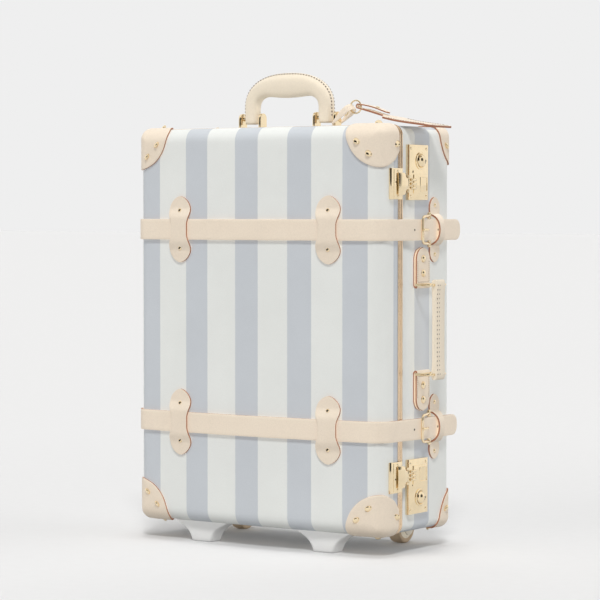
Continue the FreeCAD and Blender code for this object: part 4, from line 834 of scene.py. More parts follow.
KEEPER_X, KEEPER_PIN = 113.0, 24.0
STRAP_HALF, STRAP_THICK, STRAP_LIFT = 13.0, 2.5, 1.2
TAIL_X, TAIL_ROUND = SIDE + 4.9, 14
TAILS = {"upper": 96.0, "lower": 89.0}
TAB_Y, TAB_PIN = 43.0, 30.5
BAR_X, BAR_Y = 190.5, 28.0


def half_width(z, lobe, offset, waist):
    """Half-width of a peanut outline at a height."""
    z = np.abs(np.asarray(z, float))
    lap = 1.5
    round_end = lobe * np.maximum(1 - ((z - offset + lap) / (lobe + lap)) ** 2, 0) ** 0.62
    t = np.clip((z - 0.25 * offset) / (0.62 * offset), 0, 1)
    neck = waist / 2 + (lobe - waist / 2) * ease(t)
    return np.where(z > offset - lap, round_end, neck)


def peanut(lobe, offset, waist, high, knee, foot):
    """Along, across and lift of an arched tab, seated at its lobes; it is flat on top out to its knee."""
    along = (lobe + offset) * np.sin(np.linspace(-1, 1, 61) * np.pi / 2) * (1 - 1e-4)
    across = np.linspace(-1, 1, 15) * half_width(along, lobe, offset, waist)[:, None]
    s = np.clip((np.abs(along) - knee) / (foot - knee), 0, 1)
    fall = ease(s) if knee else 1 - np.sqrt(1 - s ** 2.6)
    return along[:, None], across, (high + (LEATHER_SEAT - high) * fall)[:, None]


def build_keepers(sizes):
    thick = sizes.leather / MM
    along, across, lift = peanut(17.0, 25.0, 25.0, 3.8, 13.2, 28.0)
    for word, level in STRAP_LEVELS.items():
        for side, side_word in ((-1, "left"), (1, "right")):
            node = f"keeper_{word}_{side_word}"
            middle = side * KEEPER_X
            form = lay(middle + across, APEX - lift + crown(middle + across), level + along)
            sheet(node + "_leather", form, (middle, 0, level), thick, "lid", node)
            for end in (-1, 1):
                spot = (middle, APEX - 0.9 - thick + crown(middle), level + end * KEEPER_PIN)
                note_head("pins", "lid", spot, FRONT)


def strap_path(tail):
    """The strap's inner face in plan, from the left seam over the lid to the tail past the rear."""
    outer = SIDE + STRAP_LIFT
    radius = FRONT_ROUND + STRAP_LIFT
    left = [(-outer, -41.0), (-outer, APEX + FRONT_ROUND + crown(SIDE))]
    for a in quarter(12)[:-1]:
        x = -SIDE + FRONT_ROUND - radius * math.cos(a)
        y = APEX + FRONT_ROUND - radius * math.sin(a)
        left.append((x, y + crown(min(abs(x), SIDE))))
    front = np.linspace(-SIDE + FRONT_ROUND, SIDE - FRONT_ROUND, 41)
    points = left + [(x, APEX - STRAP_LIFT + crown(x)) for x in front]
    points += [(-x, y) for x, y in reversed(left[1:])]
    points += [(outer, -47.0), (outer + 0.3, -42.0), (SIDE + 2.2, -36.0), (SIDE + 3.4, -26.0),
               (SIDE + 4.4, -15.0), (TAIL_X, -5.0)]
    points += [(TAIL_X, y) for y in np.linspace(5, tail - TAIL_ROUND, 14)]
    points += [(TAIL_X, tail - TAIL_ROUND + TAIL_ROUND * math.sin(a)) for a in quarter(12)]
    return np.array(points)


def build_straps():
    for word, level in STRAP_LEVELS.items():
        tail = TAILS[word]
        path = strap_path(tail)
        x, y = path[:, :1], path[:, 1:]
        reach = np.clip((y - (tail - TAIL_ROUND)) / TAIL_ROUND, 0, 0.9995)
        taper = np.where((reach > 0) & (x > 0), (1 - reach ** 2.6) ** (1 / 2.6), 1.0)
        node = f"strap_{word}"
        form = lay(x, y, level + STRAP_HALF * taper * np.linspace(-1, 1, 9))
        sheet(node + "_leather", form, (0, 0, level), STRAP_THICK, "lid", node, finish="strap_leather",
              bevel=0.6)
        # The strap's holes are not cut: dark dots on its face are painted shade of the holes.
        spots = [(TAIL_X + STRAP_THICK, place, level) for place in (-12.0, 15.0, 43.0)]
        painted_shade_dots(node + "_hole_shade", spots, [RIGHT] * len(spots), 1.35, 0.12, "lid", "natural_leather")


def build_buckles(sizes):
    thick = sizes.leather / MM
    along, across, lift = peanut(11.5, 29.0, 11.0, 10.4, 0.0, 17.6)
    bowed = TAB_Y + across + 3.0 * np.clip(1 - np.abs(along) / 20.0, 0, 1)
    bar = [(-21.6, 0.1), (-21.5, 1.2), (-20.8, 1.6), (20.8, 1.6), (21.5, 1.2), (21.6, 0.1)]
    eye = [(-2.4, 1.0), (-2.2, 2.5), (2.2, 2.5), (2.4, 1.0)]
    prong_eye = [(-2.3, 2.0), (-2.1, 2.9), (2.1, 2.9), (2.3, 2.0)]
    half_wire = [(191.4, BAR_Y, 17.2), (194.0, 20.0, 16.8), (197.2, 3.0, 16.2)]
    arm = [(191.2, 26.2), (194.6, 21.0), (200.3, 12.0), (200.3, 0.4)]
    for word, level in STRAP_LEVELS.items():
        node = f"buckle_tab_{word}"
        form = lay(SIDE + lift, bowed, level + along)
        sheet(node + "_leather", form, (0, TAB_Y, level), thick, "base", node)
        wire = [(x, y, level + z) for x, y, z in half_wire]
        wire += [(x, y, level - z) for x, y, z in reversed(half_wire)]
        forms = [sweep(rounded_path(wire, 6.5, 8), circle(1.0) * np.array([1.9, 1.55]), up=(1, 0, 0.01)),
                 lathe(bar, (BAR_X, BAR_Y, level), "Z", 16)]
        for end in (-1, 1):
            note_head("pins", "base", (SIDE + LEATHER_SEAT + thick, TAB_Y, level + end * TAB_PIN), RIGHT)
            forms += [ball((BAR_X + 0.5, BAR_Y, level + end * 19.4), 2.7),
                      lathe(eye, (BAR_X + 0.4, BAR_Y, level + end * 15.6), "Z", 18)]
        brass(f"buckle_frame_{word}_wire", forms, "base", f"buckle_frame_{word}")
        tongue = rounded_path([(x, y, level) for x, y in arm], 4.0, 6)
        forms = [sweep(tongue, circle(1.0, 12) * np.array([1.6, 0.95]), up=(1, 0.2, 0)),
                 ball((200.3, 0.6, level), 1.2, squash=(0.8, 1, 1.3)),
                 lathe(prong_eye, (BAR_X, BAR_Y, level), "Z", 18)]
        brass(f"buckle_prong_{word}_wire", forms, f"prong_{word}", f"buckle_prong_{word}")


# Locks, hasps and catches

LOCK_INSET, HALF_APART = 57.0, 14.28
LOCK_SEAT, LOCK_FACE, CATCH_FACE = SIDE + 0.2, SIDE + 5.2, SIDE + 4.2
CATCH_PROUD = CATCH_FACE + 0.4
PIN_Y, KNOB_Y = SEAM + 8.6, 4.1
KNOB_RING = [(-0.3, 10.8), (0.9, 10.6), (1.5, 9.9), (1.5, 9.1), (0.9, 8.5), (-0.3, 8.4)]
KNOB_DOME = [(-1.6, 0.05), (-1.6, 7.9), (0.4, 7.9)]
KNOB_DOME += [(0.4 + 5.4 * math.sin(a), 7.9 * math.cos(a) + 0.02) for a in quarter(8)]
KEYHOLE = [(-0.6, 0.05), (-0.6, 1.3), (0.5, 1.3), (0.5, 0.05)]
HASP_PIN = [(-10.6, 0.1), (-10.5, 1.2), (10.5, 1.2), (10.6, 0.1)]
HASP_EYE = [(-1.6, 0.1), (-1.6, 2.2), (-1.2, 2.6), (1.2, 2.6), (1.6, 2.2), (1.6, 0.1)]
HASP_BARREL = [(-7.0, 1.3), (-7.0, 2.3), (-6.7, 2.6), (-2.6, 2.6), (-2.4, 2.3), (-2.2, 2.6),
               (2.2, 2.6), (2.4, 2.3), (2.6, 2.6), (6.7, 2.6), (7.0, 2.3), (7.0, 1.3)]
FINGER = [(-6.2, 0.1), (-6.0, 1.2), (-5.2, 1.75), (5.0, 1.75), (5.8, 1.2), (6.0, 0.1)]


def build_lock_plate(word, middle, hasp_z, knob_z):
    """The plate with its knob's ring, a small diamond, the hasp's bed and the eyes that hold its pin."""
    face = LOCK_FACE
    rim = ((-12.6, 4.0), (-10.0, 0.0), (-12.6, -4.0), (-15.2, 0.0))
    diamond = [(face - 0.2, y, middle + z) for y, z in rim] + [(face + 0.9, -12.6, middle)]
    bed_line = [(face + 1.0, y, hasp_z + z) for y, z in ((2.5, -8.5), (18.0, -8.5), (18.0, 8.5), (2.5, 8.5))]
    forms = [block((LOCK_SEAT, -22.0, middle - 34.0), (face, 23.0, middle + 34.0), 1.0),
             lathe(KNOB_RING, (face, KNOB_Y, knob_z), "X", 48),
             (diamond, [(0, 1, 4), (1, 2, 4), (2, 3, 4), (3, 0, 4), (3, 2, 1, 0)]),
             block((face - 0.3, -12.0, hasp_z - 11.5), (face + 1.0, 21.0, hasp_z + 11.5), 0.45),
             sweep(rounded_path(bed_line, 1.2, 4, closed=True), circle(0.45, 8), closed=True, up=(1, 0, 0)),
             lathe(HASP_PIN, (face, PIN_Y, hasp_z), "Z", 16)]
    for k in (-1, 0, 1):
        forms.append(lathe(FINGER, (face + 0.9, -13.5, hasp_z + k * 5.0), "Y", 18))
    for eye_z in (hasp_z - 9.0, hasp_z + 9.0):
        forms.append(lathe(HASP_EYE, (face, PIN_Y, eye_z), "Z", 20))
        forms.append(block((face - 2.6, PIN_Y, eye_z - 1.6), (face, -21.0, eye_z + 1.6), 0.3))
    brass(f"lock_box_{word}", forms, "base", f"lock_plate_{word}")
    for y in (-17.5, 18.5):
        for end in (-1, 1):
            note_head("screws", "base", (face, y, middle + end * 29.0), RIGHT)


def build_hasp(word, level):
    """A bowed plate, narrow at its barrel and wide over the catch."""
    t, u = np.linspace(0, 1, 15)[:, None], np.linspace(-1, 1, 7)
    half = 6.8 + 6.6 * ease(np.clip((t - 0.22) / 0.28, 0, 1))
    bow = 2.1 * np.sin(np.pi * (0.12 + 0.80 * t)) - 0.5 * u * u
    form = lay(LOCK_FACE + 0.1 + bow, PIN_Y - 0.5 - 21.5 * t, level + half * u)
    node = f"hasp_{word}"
    sheet(node + "_plate", form, (0, PIN_Y - 11, level), 1.2, node, node, finish="polished_brass",
          edge="polished_brass", slot="polished_brass", bevel=0.3)
    brass(node + "_barrel", [lathe(HASP_BARREL, (LOCK_FACE, PIN_Y, level), "Z", 20)], node, crease=50)


def build_locks():
    for rise, word in ((1, "upper"), (-1, "lower")):
        middle = MID + rise * (HALF_TALL - LOCK_INSET)
        hasp_z, knob_z = middle - rise * HALF_APART, middle + rise * HALF_APART
        build_lock_plate(word, middle, hasp_z, knob_z)
        dome = lathe(KNOB_DOME, (LOCK_FACE, KNOB_Y, knob_z), "X", 48)
        brass(f"lock_knob_{word}_dome", [dome], f"knob_{word}", f"lock_knob_{word}")
        # The keyhole is a dark solid standing on the knob: painted shade of the hole.
        keyhole = [lathe(KEYHOLE, (LOCK_FACE + 4.75, 8.2, knob_z), "X", 20),
                   block((LOCK_FACE + 4.0, 7.75, knob_z - 3.2), (LOCK_FACE + 4.95, 8.65, knob_z), 0.1)]
        piece(f"lock_keyhole_shade_{word}", keyhole, "painted_hole_shade", f"knob_{word}", "polished_brass")
        build_hasp(word, hasp_z)
        low, high = hasp_z - 19.0, hasp_z + 19.0
        forms = [block((LOCK_SEAT, -60.3, low), (CATCH_FACE, LID_EDGE + 0.2, high), 0.7),
                 block((SIDE + 1.2, LID_EDGE - 1.0, low), (CATCH_FACE, -34.6, high), 0.4),
                 block((CATCH_FACE - 0.3, -55.0, low + 1.6), (CATCH_PROUD, -36.5, high - 1.6), 0.3)]
        brass(f"catch_plate_{word}_block", forms, "lid", f"catch_plate_{word}")
        for end in (-1, 1):
            note_head("screws", "lid", (CATCH_PROUD, -46.0, hasp_z + end * 15.4), RIGHT)
        # A dark dot on the catch plate: painted shade of a small hole.
        dot = (CATCH_PROUD, -50.8, hasp_z + rise * 2)
        painted_shade_dots(f"catch_hole_shade_{word}", [dot], [RIGHT], 1.2, 0.12, "lid", "polished_brass")


# Handles

GRIP_OUTER, GRIP_INNER, GRIP_FOOT = 67.5, 47.0, 532.7
OUTER_LEVEL, OUTER_RISE, OUTER_POWER = 552.0, 44.8, 2 / 2.33
INNER_LEVEL, INNER_RISE, INNER_DIP = 548.7, 19.8, 3.4
RIM_TURN = 26.0
FOLD_RISE, TAB_MIDDLE = 55.0, 11.5
TAB_FACE, TAB_HALF, TAB_LONG = SIDE + 5.3, 15.0, 46.0
SIDE_GRIP_X, SIDE_GRIP_HALF = 214.5, 61.5

# The side grip's half-thickness at distances from its ends
SIDE_GRIP_ROWS = [(0, 2.2), (1.2, 3.4), (3.5, 4.2), (7.5, 4.5), (13, 4.0), (22, 3.5), (40, 3.4), (49.5, 3.4)]


def handle_edges():
    """Outer and inner edges of the carry handle in the x-z plane, point for point."""
    outer, inner = [], []
    for t in np.arange(7) / 7:
        outer.append((-GRIP_OUTER, GRIP_FOOT + (OUTER_LEVEL - GRIP_FOOT) * t))
        inner.append((-GRIP_INNER, GRIP_FOOT + (INNER_LEVEL - GRIP_FOOT) * t))
    for a in [0.0] + quarter(24)[:-1]:
        c, s = math.cos(a), math.sin(a)
        outer.append((-GRIP_OUTER * c ** OUTER_POWER, OUTER_LEVEL + OUTER_RISE * s ** OUTER_POWER))
        dip = INNER_DIP * max(0.0, (a - 1.0) / 0.57) ** 1.4
        inner.append((-GRIP_INNER * c ** (2 / 4.2), INNER_LEVEL + INNER_RISE * s ** (2 / 3.4) - dip))
    right_outer, right_inner = [[(-x, z) for x, z in reversed(edge)] for edge in (outer, inner)]
    outer += [(0.0, OUTER_LEVEL + OUTER_RISE)] + right_outer
    inner += [(0.0, INNER_LEVEL + INNER_RISE - INNER_DIP)] + right_inner
    return np.array(outer), np.array(inner)


def on_handle(outer, inner, i, turn):
    """A place on the carry handle's skin: row i, at an angle round its section from the outer edge."""
    centre, reach = (outer[i] + inner[i]) / 2, (outer[i] - inner[i]) / 2
    last = len(outer) - 1
    from_end = min(i, last - i)
    thick = 8.4 + 1.5 * min(1.0, max(0.0, (from_end / (last / 2) - 0.15) / 0.5))
    pinch = {0: 0.90, 1: 0.97}.get(from_end, 1.0)
    a = swell(math.cos(turn), 0.8) * pinch
    b = swell(math.sin(turn), 0.8) * pinch
    groove = 1.0 - 0.42 * math.exp(-((a - 0.87) / 0.14) ** 2)
    return (centre[0] + reach[0] * a, thick * groove * b, centre[1] + reach[1] * a)


def build_carry_handle(sizes):
    outer, inner = handle_edges()
    count, sides = len(outer), 32
    points = [on_handle(outer, inner, i, 2 * math.pi * k / sides) for i in range(count) for k in range(sides)]
    made = tidy(add_mesh("carry_handle_padding", (points, tube_faces(count, sides)), "cream_leather"))
    settle(made, "carry_handle", "natural_leather", "carry_handle_grip")
    gap = sizes.stitch / MM
    for turn, word in ((-RIM_TURN, "front"), (RIM_TURN, "rear")):
        edge = np.array([on_handle(outer, inner, i, math.radians(turn)) for i in range(2, count - 2)])
        steps = np.concatenate([[0], np.cumsum(np.linalg.norm(np.diff(edge, axis=0), axis=1))])
        where = np.arange(2.0, steps[-1] - 2.0, gap)
        spots = np.stack([np.interp(where, steps, edge[:, axis]) for axis in range(3)], 1)
        ways = np.gradient(spots, axis=0)
        stitch("carry_handle_stitches_" + word, spots, ways, 0.8, 1.25, "carry_handle")
    refined("carry_handle_lugs", "base", "polished_brass", "polished_brass", 0.5, 3)


def folded_tab(rise, fold):
    """A tab folded round the ring's bar: outer layer, fold and inner layer."""
    top = fold + rise * TAB_LONG
    run = np.linspace(0, 1, 26) * math.pi / 2
    path = [(SIDE + 4.35, top + (fold - top) * math.sin(a)) for a in run]
    for a in [math.radians(15 * k) for k in range(1, 12)]:
        path.append((SIDE + 2.45 + 2.3 * math.cos(a) + 1.2 * math.sin(a), fold - rise * 3.6 * math.sin(a)))
    path += [(SIDE + 0.35, fold + (top - fold) * (1 - math.cos(a))) for a in run]
    path = np.array(path)
    along = np.maximum((path[:, 1:] - fold) * rise - (TAB_LONG - TAB_HALF), 0)
    half = np.sqrt(np.maximum(TAB_HALF ** 2 - np.minimum(along, TAB_HALF - 0.002) ** 2, 0))
    return lay(path[:, :1], TAB_MIDDLE + half * np.linspace(-1, 1, 13), path[:, 1:])


def build_side_tab(rise, word):
    """One end of the side handle: its tab, rivets, ring and stitches."""
    fold = MID + rise * FOLD_RISE
    node, ring = f"side_tab_{word}", f"side_ring_{word}"
    sheet(node + "_leather", folded_tab(rise, fold), None, 1.9, "base", node, bevel=0.45)
    for far in (14.0, 32.0):
        note_head("rivets", "base", (TAB_FACE, TAB_MIDDLE, fold + rise * far), RIGHT)
    ends = ((192.1, -7.0), (SIDE_GRIP_X, -7.0), (SIDE_GRIP_X, 30.0), (192.1, 30.0))
    loop = rounded_path([(x, y, fold) for x, y in ends], 5.0, 7, closed=True)
    brass(ring + "_wire", [sweep(loop, circle(1.7), closed=True)], ring, ring)
    seams = [((y, 3.2), (0, 1, 0)) for y in np.arange(-0.5, 24.0, 2.6)]
    seams += [((y, z), (0, 0, 1)) for z in np.arange(5.0, 31.0, 2.6) for y in (-1.6, 24.6)]
    spots = [(TAB_FACE, y, fold + rise * z) for (y, z), _ in seams]
    stitch(f"side_tab_stitches_{word}", spots, [way for _, way in seams], 0.34, 0.95, "base")


def build_side_handle(sizes):
    build_side_tab(1, "upper")
    build_side_tab(-1, "lower")
    low, high = MID - SIDE_GRIP_HALF, MID + SIDE_GRIP_HALF
    rows = [low + z for z, _ in SIDE_GRIP_ROWS] + [high - z for z, _ in reversed(SIDE_GRIP_ROWS)]
    thick = [t for _, t in SIDE_GRIP_ROWS + SIDE_GRIP_ROWS[::-1]]
    grip = sweep([(SIDE_GRIP_X, TAB_MIDDLE, z) for z in rows], rounded_section(2.0, 20.0, 0.98), up=(0, 1, 0),
                 scale=[(t, 1.0) for t in thick])
    piece("side_handle_grip_leather", [grip], "cream_leather", "side_grip", "natural_leather",
          "side_handle_grip", crease=60)
    gap = sizes.stitch * 1.3 / MM
    for y, radius, word in ((3.3, 0.62, "outer"), (8.2, 0.42, "inner")):
        heights = np.arange(low + 7, high - 6, gap)
        spots = [(SIDE_GRIP_X + 0.02 + np.interp(z, rows, thick), y, z) for z in heights]
        stitch("side_grip_stitches_" + word, spots, [(0, 0, 1)] * len(spots), radius, 1.0, "side_grip")


# Rim trim, hinges, trolley, linings, wheels and feet

TRIM_BACK, TRIM_PROUD, TRIM_BULGE = -4.0, 0.1, 1.3
TYRE_HALF, TYRE_SHOULDER = 8.5, 17.4

# CAD nodes kept in shape: node, body, slot, finish, rounding and its segments
REFINED_NODES = [
    ("trolley_cup", "base", "ivory_moulding", "ivory_moulding", 0.6, 2),
    ("trolley_outer_tubes", "base", "bright_tube", "bright_tube", 0.3, 2),
    ("wheel_wells", "base", "ivory_moulding", "ivory_moulding", 0.5, 2),
    ("hinge_base_leaves", "base", "polished_brass", "rubbed_brass", 0.3, 2),
    ("hinge_lid_leaves", "lid", "polished_brass", "rubbed_brass", 0.3, 2),
    ("trolley_inner_tubes", "trolley", "bright_tube", "bright_tube", 0.6, 2),
    ("trolley_pull", "trolley", "ivory_moulding", "ivory_moulding", 1.2, 3),
    ("trolley_button", "button", "ivory_moulding", "white_moulding", 0.8, 3),
    ("lid_lining", "lid", "lining_cloth", "lining_cloth", 0.4, 2),
    ("base_lining", "base", "lining_cloth", "lining_cloth", 0.4, 2)]

# A foot's height, its half-width there and how far it stands in from its box's front and rear
FOOT_ROWS = [(0.0, 14.8, 1.8), (0.5, 15.7, 0.9), (1.6, 16.3, 0.3), (4.0, 17.2, 0.1), (7.0, 18.4, 0.1),
             (10.0, 20.2, 0.1), (13.0, 22.6, 0.4), (16.0, 26.0, 0.4), (18.5, 29.4, 0.4), (20.5, 32.8, 0.4),
             (22.3, 36.4, 0.4), (23.8, 39.2, 0.4), (25.0, 40.6, 0.4), (FLOOR - 0.25, 41.0, 0.4)]


def build_trims():
    half_x, half_z = SIDE - CORNER_ROUND, HALF_TALL - CORNER_ROUND
    for body in ("lid", "base"):
        node = body + "_frame"
        low, high = own_box(node)
        wide = high[1] - low[1]
        profile = [(TRIM_BACK, 0.0), (TRIM_BACK, wide), (TRIM_PROUD, wide)]
        for a in [math.radians(22.5 * k) for k in range(1, 8)]:
            profile.append((TRIM_PROUD + TRIM_BULGE * math.sin(a) ** 0.9, wide / 2 + wide / 2 * math.cos(a)))
        profile.append((TRIM_PROUD, 0.0))
        rings = [perimeter(-proud, [-half_x, 0.0, half_x], [-half_z, 0.0, half_z]) for proud, _ in profile]
        points = [(x, low[1] + along, MID + z) for ring, (_, along) in zip(rings, profile) for x, z in ring]
        form = points, tube_faces(len(profile), len(rings[0]), closed=True)
        piece(node + "_trim", [form], "rubbed_brass", body, "polished_brass", node, crease=50)


def build_wheel(word):
    node = f"wheel_{word}"
    low, high = own_box(node)
    centre, half = (low + high) / 2, TYRE_HALF
    angles = [math.radians(-90 + 15 * k) for k in range(13)]
    tyre = [(half * swell(math.sin(a), 0.7), TYRE_SHOULDER + 2.6 * math.cos(a) ** 0.6) for a in angles]
    tyre = [(-half + 0.6, 13.6), (-half, 14.6)] + tyre + [(half, 14.6), (half - 0.6, 13.6)]
    piece(node + "_tyre", [lathe(tyre, centre, "X", 64)], "tan_rubber", node, "tan_rubber", node, crease=45)
    hub = [(half + 0.7, 3.3), (half + 0.7, 5.6), (half - 1.4, 6.4), (half - 1.8, 11.6), (half - 0.5, 12.6),
           (half - 0.5, 13.7)]
    hub = [(-along, radius) for along, radius in hub] + hub[::-1]
    piece(node + "_hub", [lathe(hub, centre, "X", 48)], "ivory_moulding", node, "tan_rubber", crease=40)


def build_foot(word):
    """A flared moulding: a rounded rectangle that widens towards the lid."""
    node = f"foot_{word}"
    low, high = own_box(node)
    middle = (low + high) / 2
    points = []
    for z, half, inset in FOOT_ROWS:
        depth = high[1] - low[1] - 2 * inset
        section = rounded_section(2 * half, depth, min(5.0, depth * 0.3), 5)
        points += [(middle[0] + a, middle[1] + b, z) for a, b in section]
    form = points, tube_faces(len(FOOT_ROWS), len(section))
    piece(node + "_moulding", [form], "white_moulding", "lid", "white_moulding", node, crease=50)


def build_running_gear():
    for row in REFINED_NODES:
        refined(*row)
    for word in ("left", "right"):
        build_wheel(word)
        build_foot(word)


# Luggage tag

TAG_SLOPE, TAG_SAG, TAG_SAG_RUN = math.radians(12.0), 3.2, 130.0
TAG_NECK, TAG_SHOULDER, TAG_END, TAG_ROUND = 40, 14, 116, 9
TAG_NECK_HALF, TAG_HALF, TAG_SEAM = 6.5, 26.0, 23.0
LACE_LEAN = math.radians(40.0)


def on_tag(start, s, y, lift=0.0):
    """Places on the tag: s along it from its ring, y across it, lift off its face."""
    s, y, lift = np.broadcast_arrays(*[np.asarray(value, float) for value in (s, y, lift)])
    lift = lift - TAG_SAG * np.sin(np.pi * np.clip(s / TAG_SAG_RUN, 0, 1)) ** 2
    cos, sin = math.cos(TAG_SLOPE), math.sin(TAG_SLOPE)
    return np.stack([start[0] + s * cos + lift * sin, start[1] + y, start[2] - s * sin + lift * cos], -1)


def build_tag_leather(start):
    """The flap with its rounded end, and the strap that loops through the ring."""
    s = np.concatenate([np.linspace(10.5, TAG_NECK, 10), TAG_NECK + TAG_SHOULDER * np.linspace(0.08, 1, 10),
                        np.linspace(58, TAG_END, 16),
                        TAG_END + TAG_ROUND * np.sin(np.radians(np.linspace(9, 90, 10)))])[:, None]
    half = TAG_NECK_HALF + (TAG_HALF - TAG_NECK_HALF) * ease(np.clip((s - TAG_NECK) / TAG_SHOULDER, 0, 1))
    reach = np.clip((s - TAG_END) / TAG_ROUND, 0, 1)
    end_half = TAG_HALF - TAG_ROUND + TAG_ROUND * np.sqrt(np.maximum(1 - reach ** 2, 0))
    half = np.where(s > TAG_END, end_half, half)
    flap = patch(on_tag(start, s, half * np.linspace(-1, 1, 11), -1.2))
    sheet("tag_flap_leather", flap, None, 2.4, "tag", "tag_body", bevel=0.45)
    loop = [(46.0 - 45.0 * u, 3.4 + 1.2 * math.sin(math.pi * u)) for u in np.linspace(0, 1, 14)]
    for a in [math.radians(20 * k) for k in range(1, 9)]:
        loop.append((1.0 - 2.2 * math.sin(a), 1.0 + 2.4 * math.cos(a)))
    loop += [(1.0 + 15.0 * u, -1.4 - 0.5 * u) for u in np.linspace(0, 1, 8)]
    s, lift = np.array(loop)[:, :1], np.array(loop)[:, 1:]
    half = 5.2 * np.sqrt(1 - np.clip((s - 41.0) / 5.0, 0, 0.999) ** 2)
    strap = patch(on_tag(start, s, half * np.linspace(-1, 1, 7), lift))
    sheet("tag_strap_leather", strap, None, 1.6, "tag", bevel=0.35)


def build_tag_stitches(start):
    seams = [((s, y), (1, 0)) for y in (-TAG_SEAM, TAG_SEAM) for s in np.arange(60.0, 114.0, 3.6)]
    seams += [((121.5, y), (0, 1)) for y in np.arange(-19.5, 20.0, 3.6)]
    here, way = np.array([spot for spot, _ in seams]), np.array([way for _, way in seams])
    spots = on_tag(start, *here.T, 0.1)
    stitch("tag_stitches", spots, on_tag(start, *(here + way).T, 0.1) - spots, 0.4, 1.25, "tag")
    rivet, above = [on_tag(start, [27.0], [0.0], lift) for lift in (5.6, 6.6)]
    scatter("tag_rivet", rivet, above - rivet, 2.8, 1.3, "polished_brass", "tag", "natural_leather")


def build_tag():
    link_low, link_high = own_box("tag_link")
    hang = np.array([(link_low[0] + link_high[0]) / 2, 0.0, (link_low[2] + link_high[2]) / 2])
    start = hang + np.array([5.0, 0.0, 0.0])
    build_tag_leather(start)
    build_tag_stitches(start)
    ring = [hang + np.array([c, 0, s]) for c, s in circle(8.0, 40)]
    forms = [sweep(ring, circle(1.05, 12), closed=True, up=(0, 1, 0))]
    for shift, tilt in (((-10.0, 0.0, -3.0), 0.0), ((-13.5, 0.0, -6.5), 1.3)):
        link = [hang + np.array(shift) + np.array([0.8 * c, s * math.cos(tilt), 0.6 * c + s * math.sin(tilt)])
                for c, s in circle(3.4, 24)]
        forms.append(sweep(link, circle(0.85, 10), closed=True, up=(0.3, 0.5, 0.8)))
    brass("tag_link_wire", forms, "base", "tag_link")
    lace_low, _ = own_box("tag_lace")
    foot = np.array([lace_low[0] + 1.3, 0.0, lace_low[2] + 1.3])
    lace, widths = [], []
    for c, s in circle(1.0, 48):
        u, v = 17.0 + 17.0 * swell(c, 0.55), 8.9 * swell(s, 0.55)
        lace.append(foot + np.array([u * math.cos(LACE_LEAN), v, u * math.sin(LACE_LEAN)]))
        widths.append((1.0, 1.0 + 1.5 * min(1.0, max(0.0, (u - 6.0) / 16.0))))
    form = sweep(lace, rounded_section(1.7, 3.4, 0.6, 3), closed=True, scale=widths,
                 up=(-math.sin(LACE_LEAN), 0, math.cos(LACE_LEAN)))
    piece("tag_lace_leather", [form], "natural_leather", "base", "natural_leather", "tag_lace", crease=60)


# Stage

CAMERA_TARGET, CAMERA_TURN, CAMERA_PITCH, CAMERA_FAR = (72.5, -82.0, 312.3), 34.44, 2.01, 3.076
FLOOR_HALF = 40
WARM, NEUTRAL = (1.0, 0.995, 0.985), (1.0, 0.995, 0.99)

# Each light's name, turn, height, strength, softness, colour and shadow
LIGHTS = [("overhead_light", 34.0, 88.0, 0.98, 11.0, WARM, True),
          ("key_light", 34.4, 48.0, 1.5, 12.0, WARM, True),
          ("front_fill", -22.0, 14.0, 1.34, 60.0, WARM, False),
          ("side_fill", 112.0, 14.0, 1.36, 60.0, NEUTRAL, False),
          ("rear_fill", 214.0, 15.0, 0.95, 60.0, WARM, False)]

# Each dark flag's direction, where it starts and ends as a cosine, and the light left within it
FLAGS = [((0.05, -0.95, 0.30), 0.66, 0.82, 0.03), ((0.94, 0.26, 0.20), 0.88, 0.95, 0.06)]


def towards(turn, height):
    """A direction from the case, turned from its front to its right and raised, in degrees."""
    a, e = math.radians(turn), math.radians(height)
    return np.array([math.sin(a) * math.cos(e), -math.cos(a) * math.cos(e), math.sin(e)])


def stand(name, data, place, target):
    """An object at a place, facing a target."""
    made = link_object(name, data)
    made.location = place
    made.rotation_euler = (Vector(target) - made.location).to_track_quat("-Z", "Y").to_euler()
    return made


def build_stage():
    scene = bpy.context.scene
    scene.view_settings.view_transform = "Standard"
    target = placed(CAMERA_TARGET)
    lens = bpy.data.cameras.new("studio_camera")
    lens.lens = 150.1
    lens.sensor_width = 36.0
    lens.clip_end = 100.0
    place = target + CAMERA_FAR * towards(CAMERA_TURN, CAMERA_PITCH)
    scene.camera = stand("studio_camera", lens, place, target)
    for name, turn, height, strength, soft, colour, shadow in LIGHTS:
        lamp = bpy.data.lights.new(name, "SUN")
        lamp.energy = strength
        lamp.angle = math.radians(soft)
        lamp.color = colour
        lamp.use_shadow = shadow
        light = stand(name, lamp, 4 * towards(turn, height), (0, 0, 0))
        light.visible_glossy = False
    floor_finish()
    paper = bpy.data.meshes.new("studio_floor")
    corners = [(x * FLOOR_HALF, y * FLOOR_HALF, 0) for x, y in ((-1, -1), (1, -1), (1, 1), (-1, 1))]
    paper.from_pydata(corners, [], [(0, 1, 2, 3)])
    paper.materials.append(FINISHES["studio_paper"])
    link_object("studio_floor", paper)
    build_world(scene)


def floor_finish():
    """Pale matt paper, with painted shade near the case; bounced light sees it darker, so that the case's
    lower half isn't lit from below.
    """
    made = Finish("studio_paper")
    paper = made.ramp(made.noise(60.0, 3.0), [(0.3, (0.762, 0.762, 0.764)), (0.7, (0.772, 0.772, 0.774))])
    away = made.add("VectorMath", "Value", {"operation": "LENGTH"}, i0=made.where)
    # Painted shade: the paper is a little darker near the case, to offset the light that the case bounces
    # onto it.
    painted_shade_near_case = made.spread(away, 0.3, 1.6, 0.97, 1.0)
    rays = made.add("LightPath").node.outputs
    seen = made.maths("MAXIMUM", rays["Is Camera Ray"], rays["Is Glossy Ray"])
    tone = made.spread(seen, 0.0, 1.0, 0.48, 1.0)
    made.put("Base Color", made.toned(paper, made.maths("MULTIPLY", painted_shade_near_case, tone)))
    made.put("Roughness", 0.9)
    made.put("Specular IOR Level", 0.0)


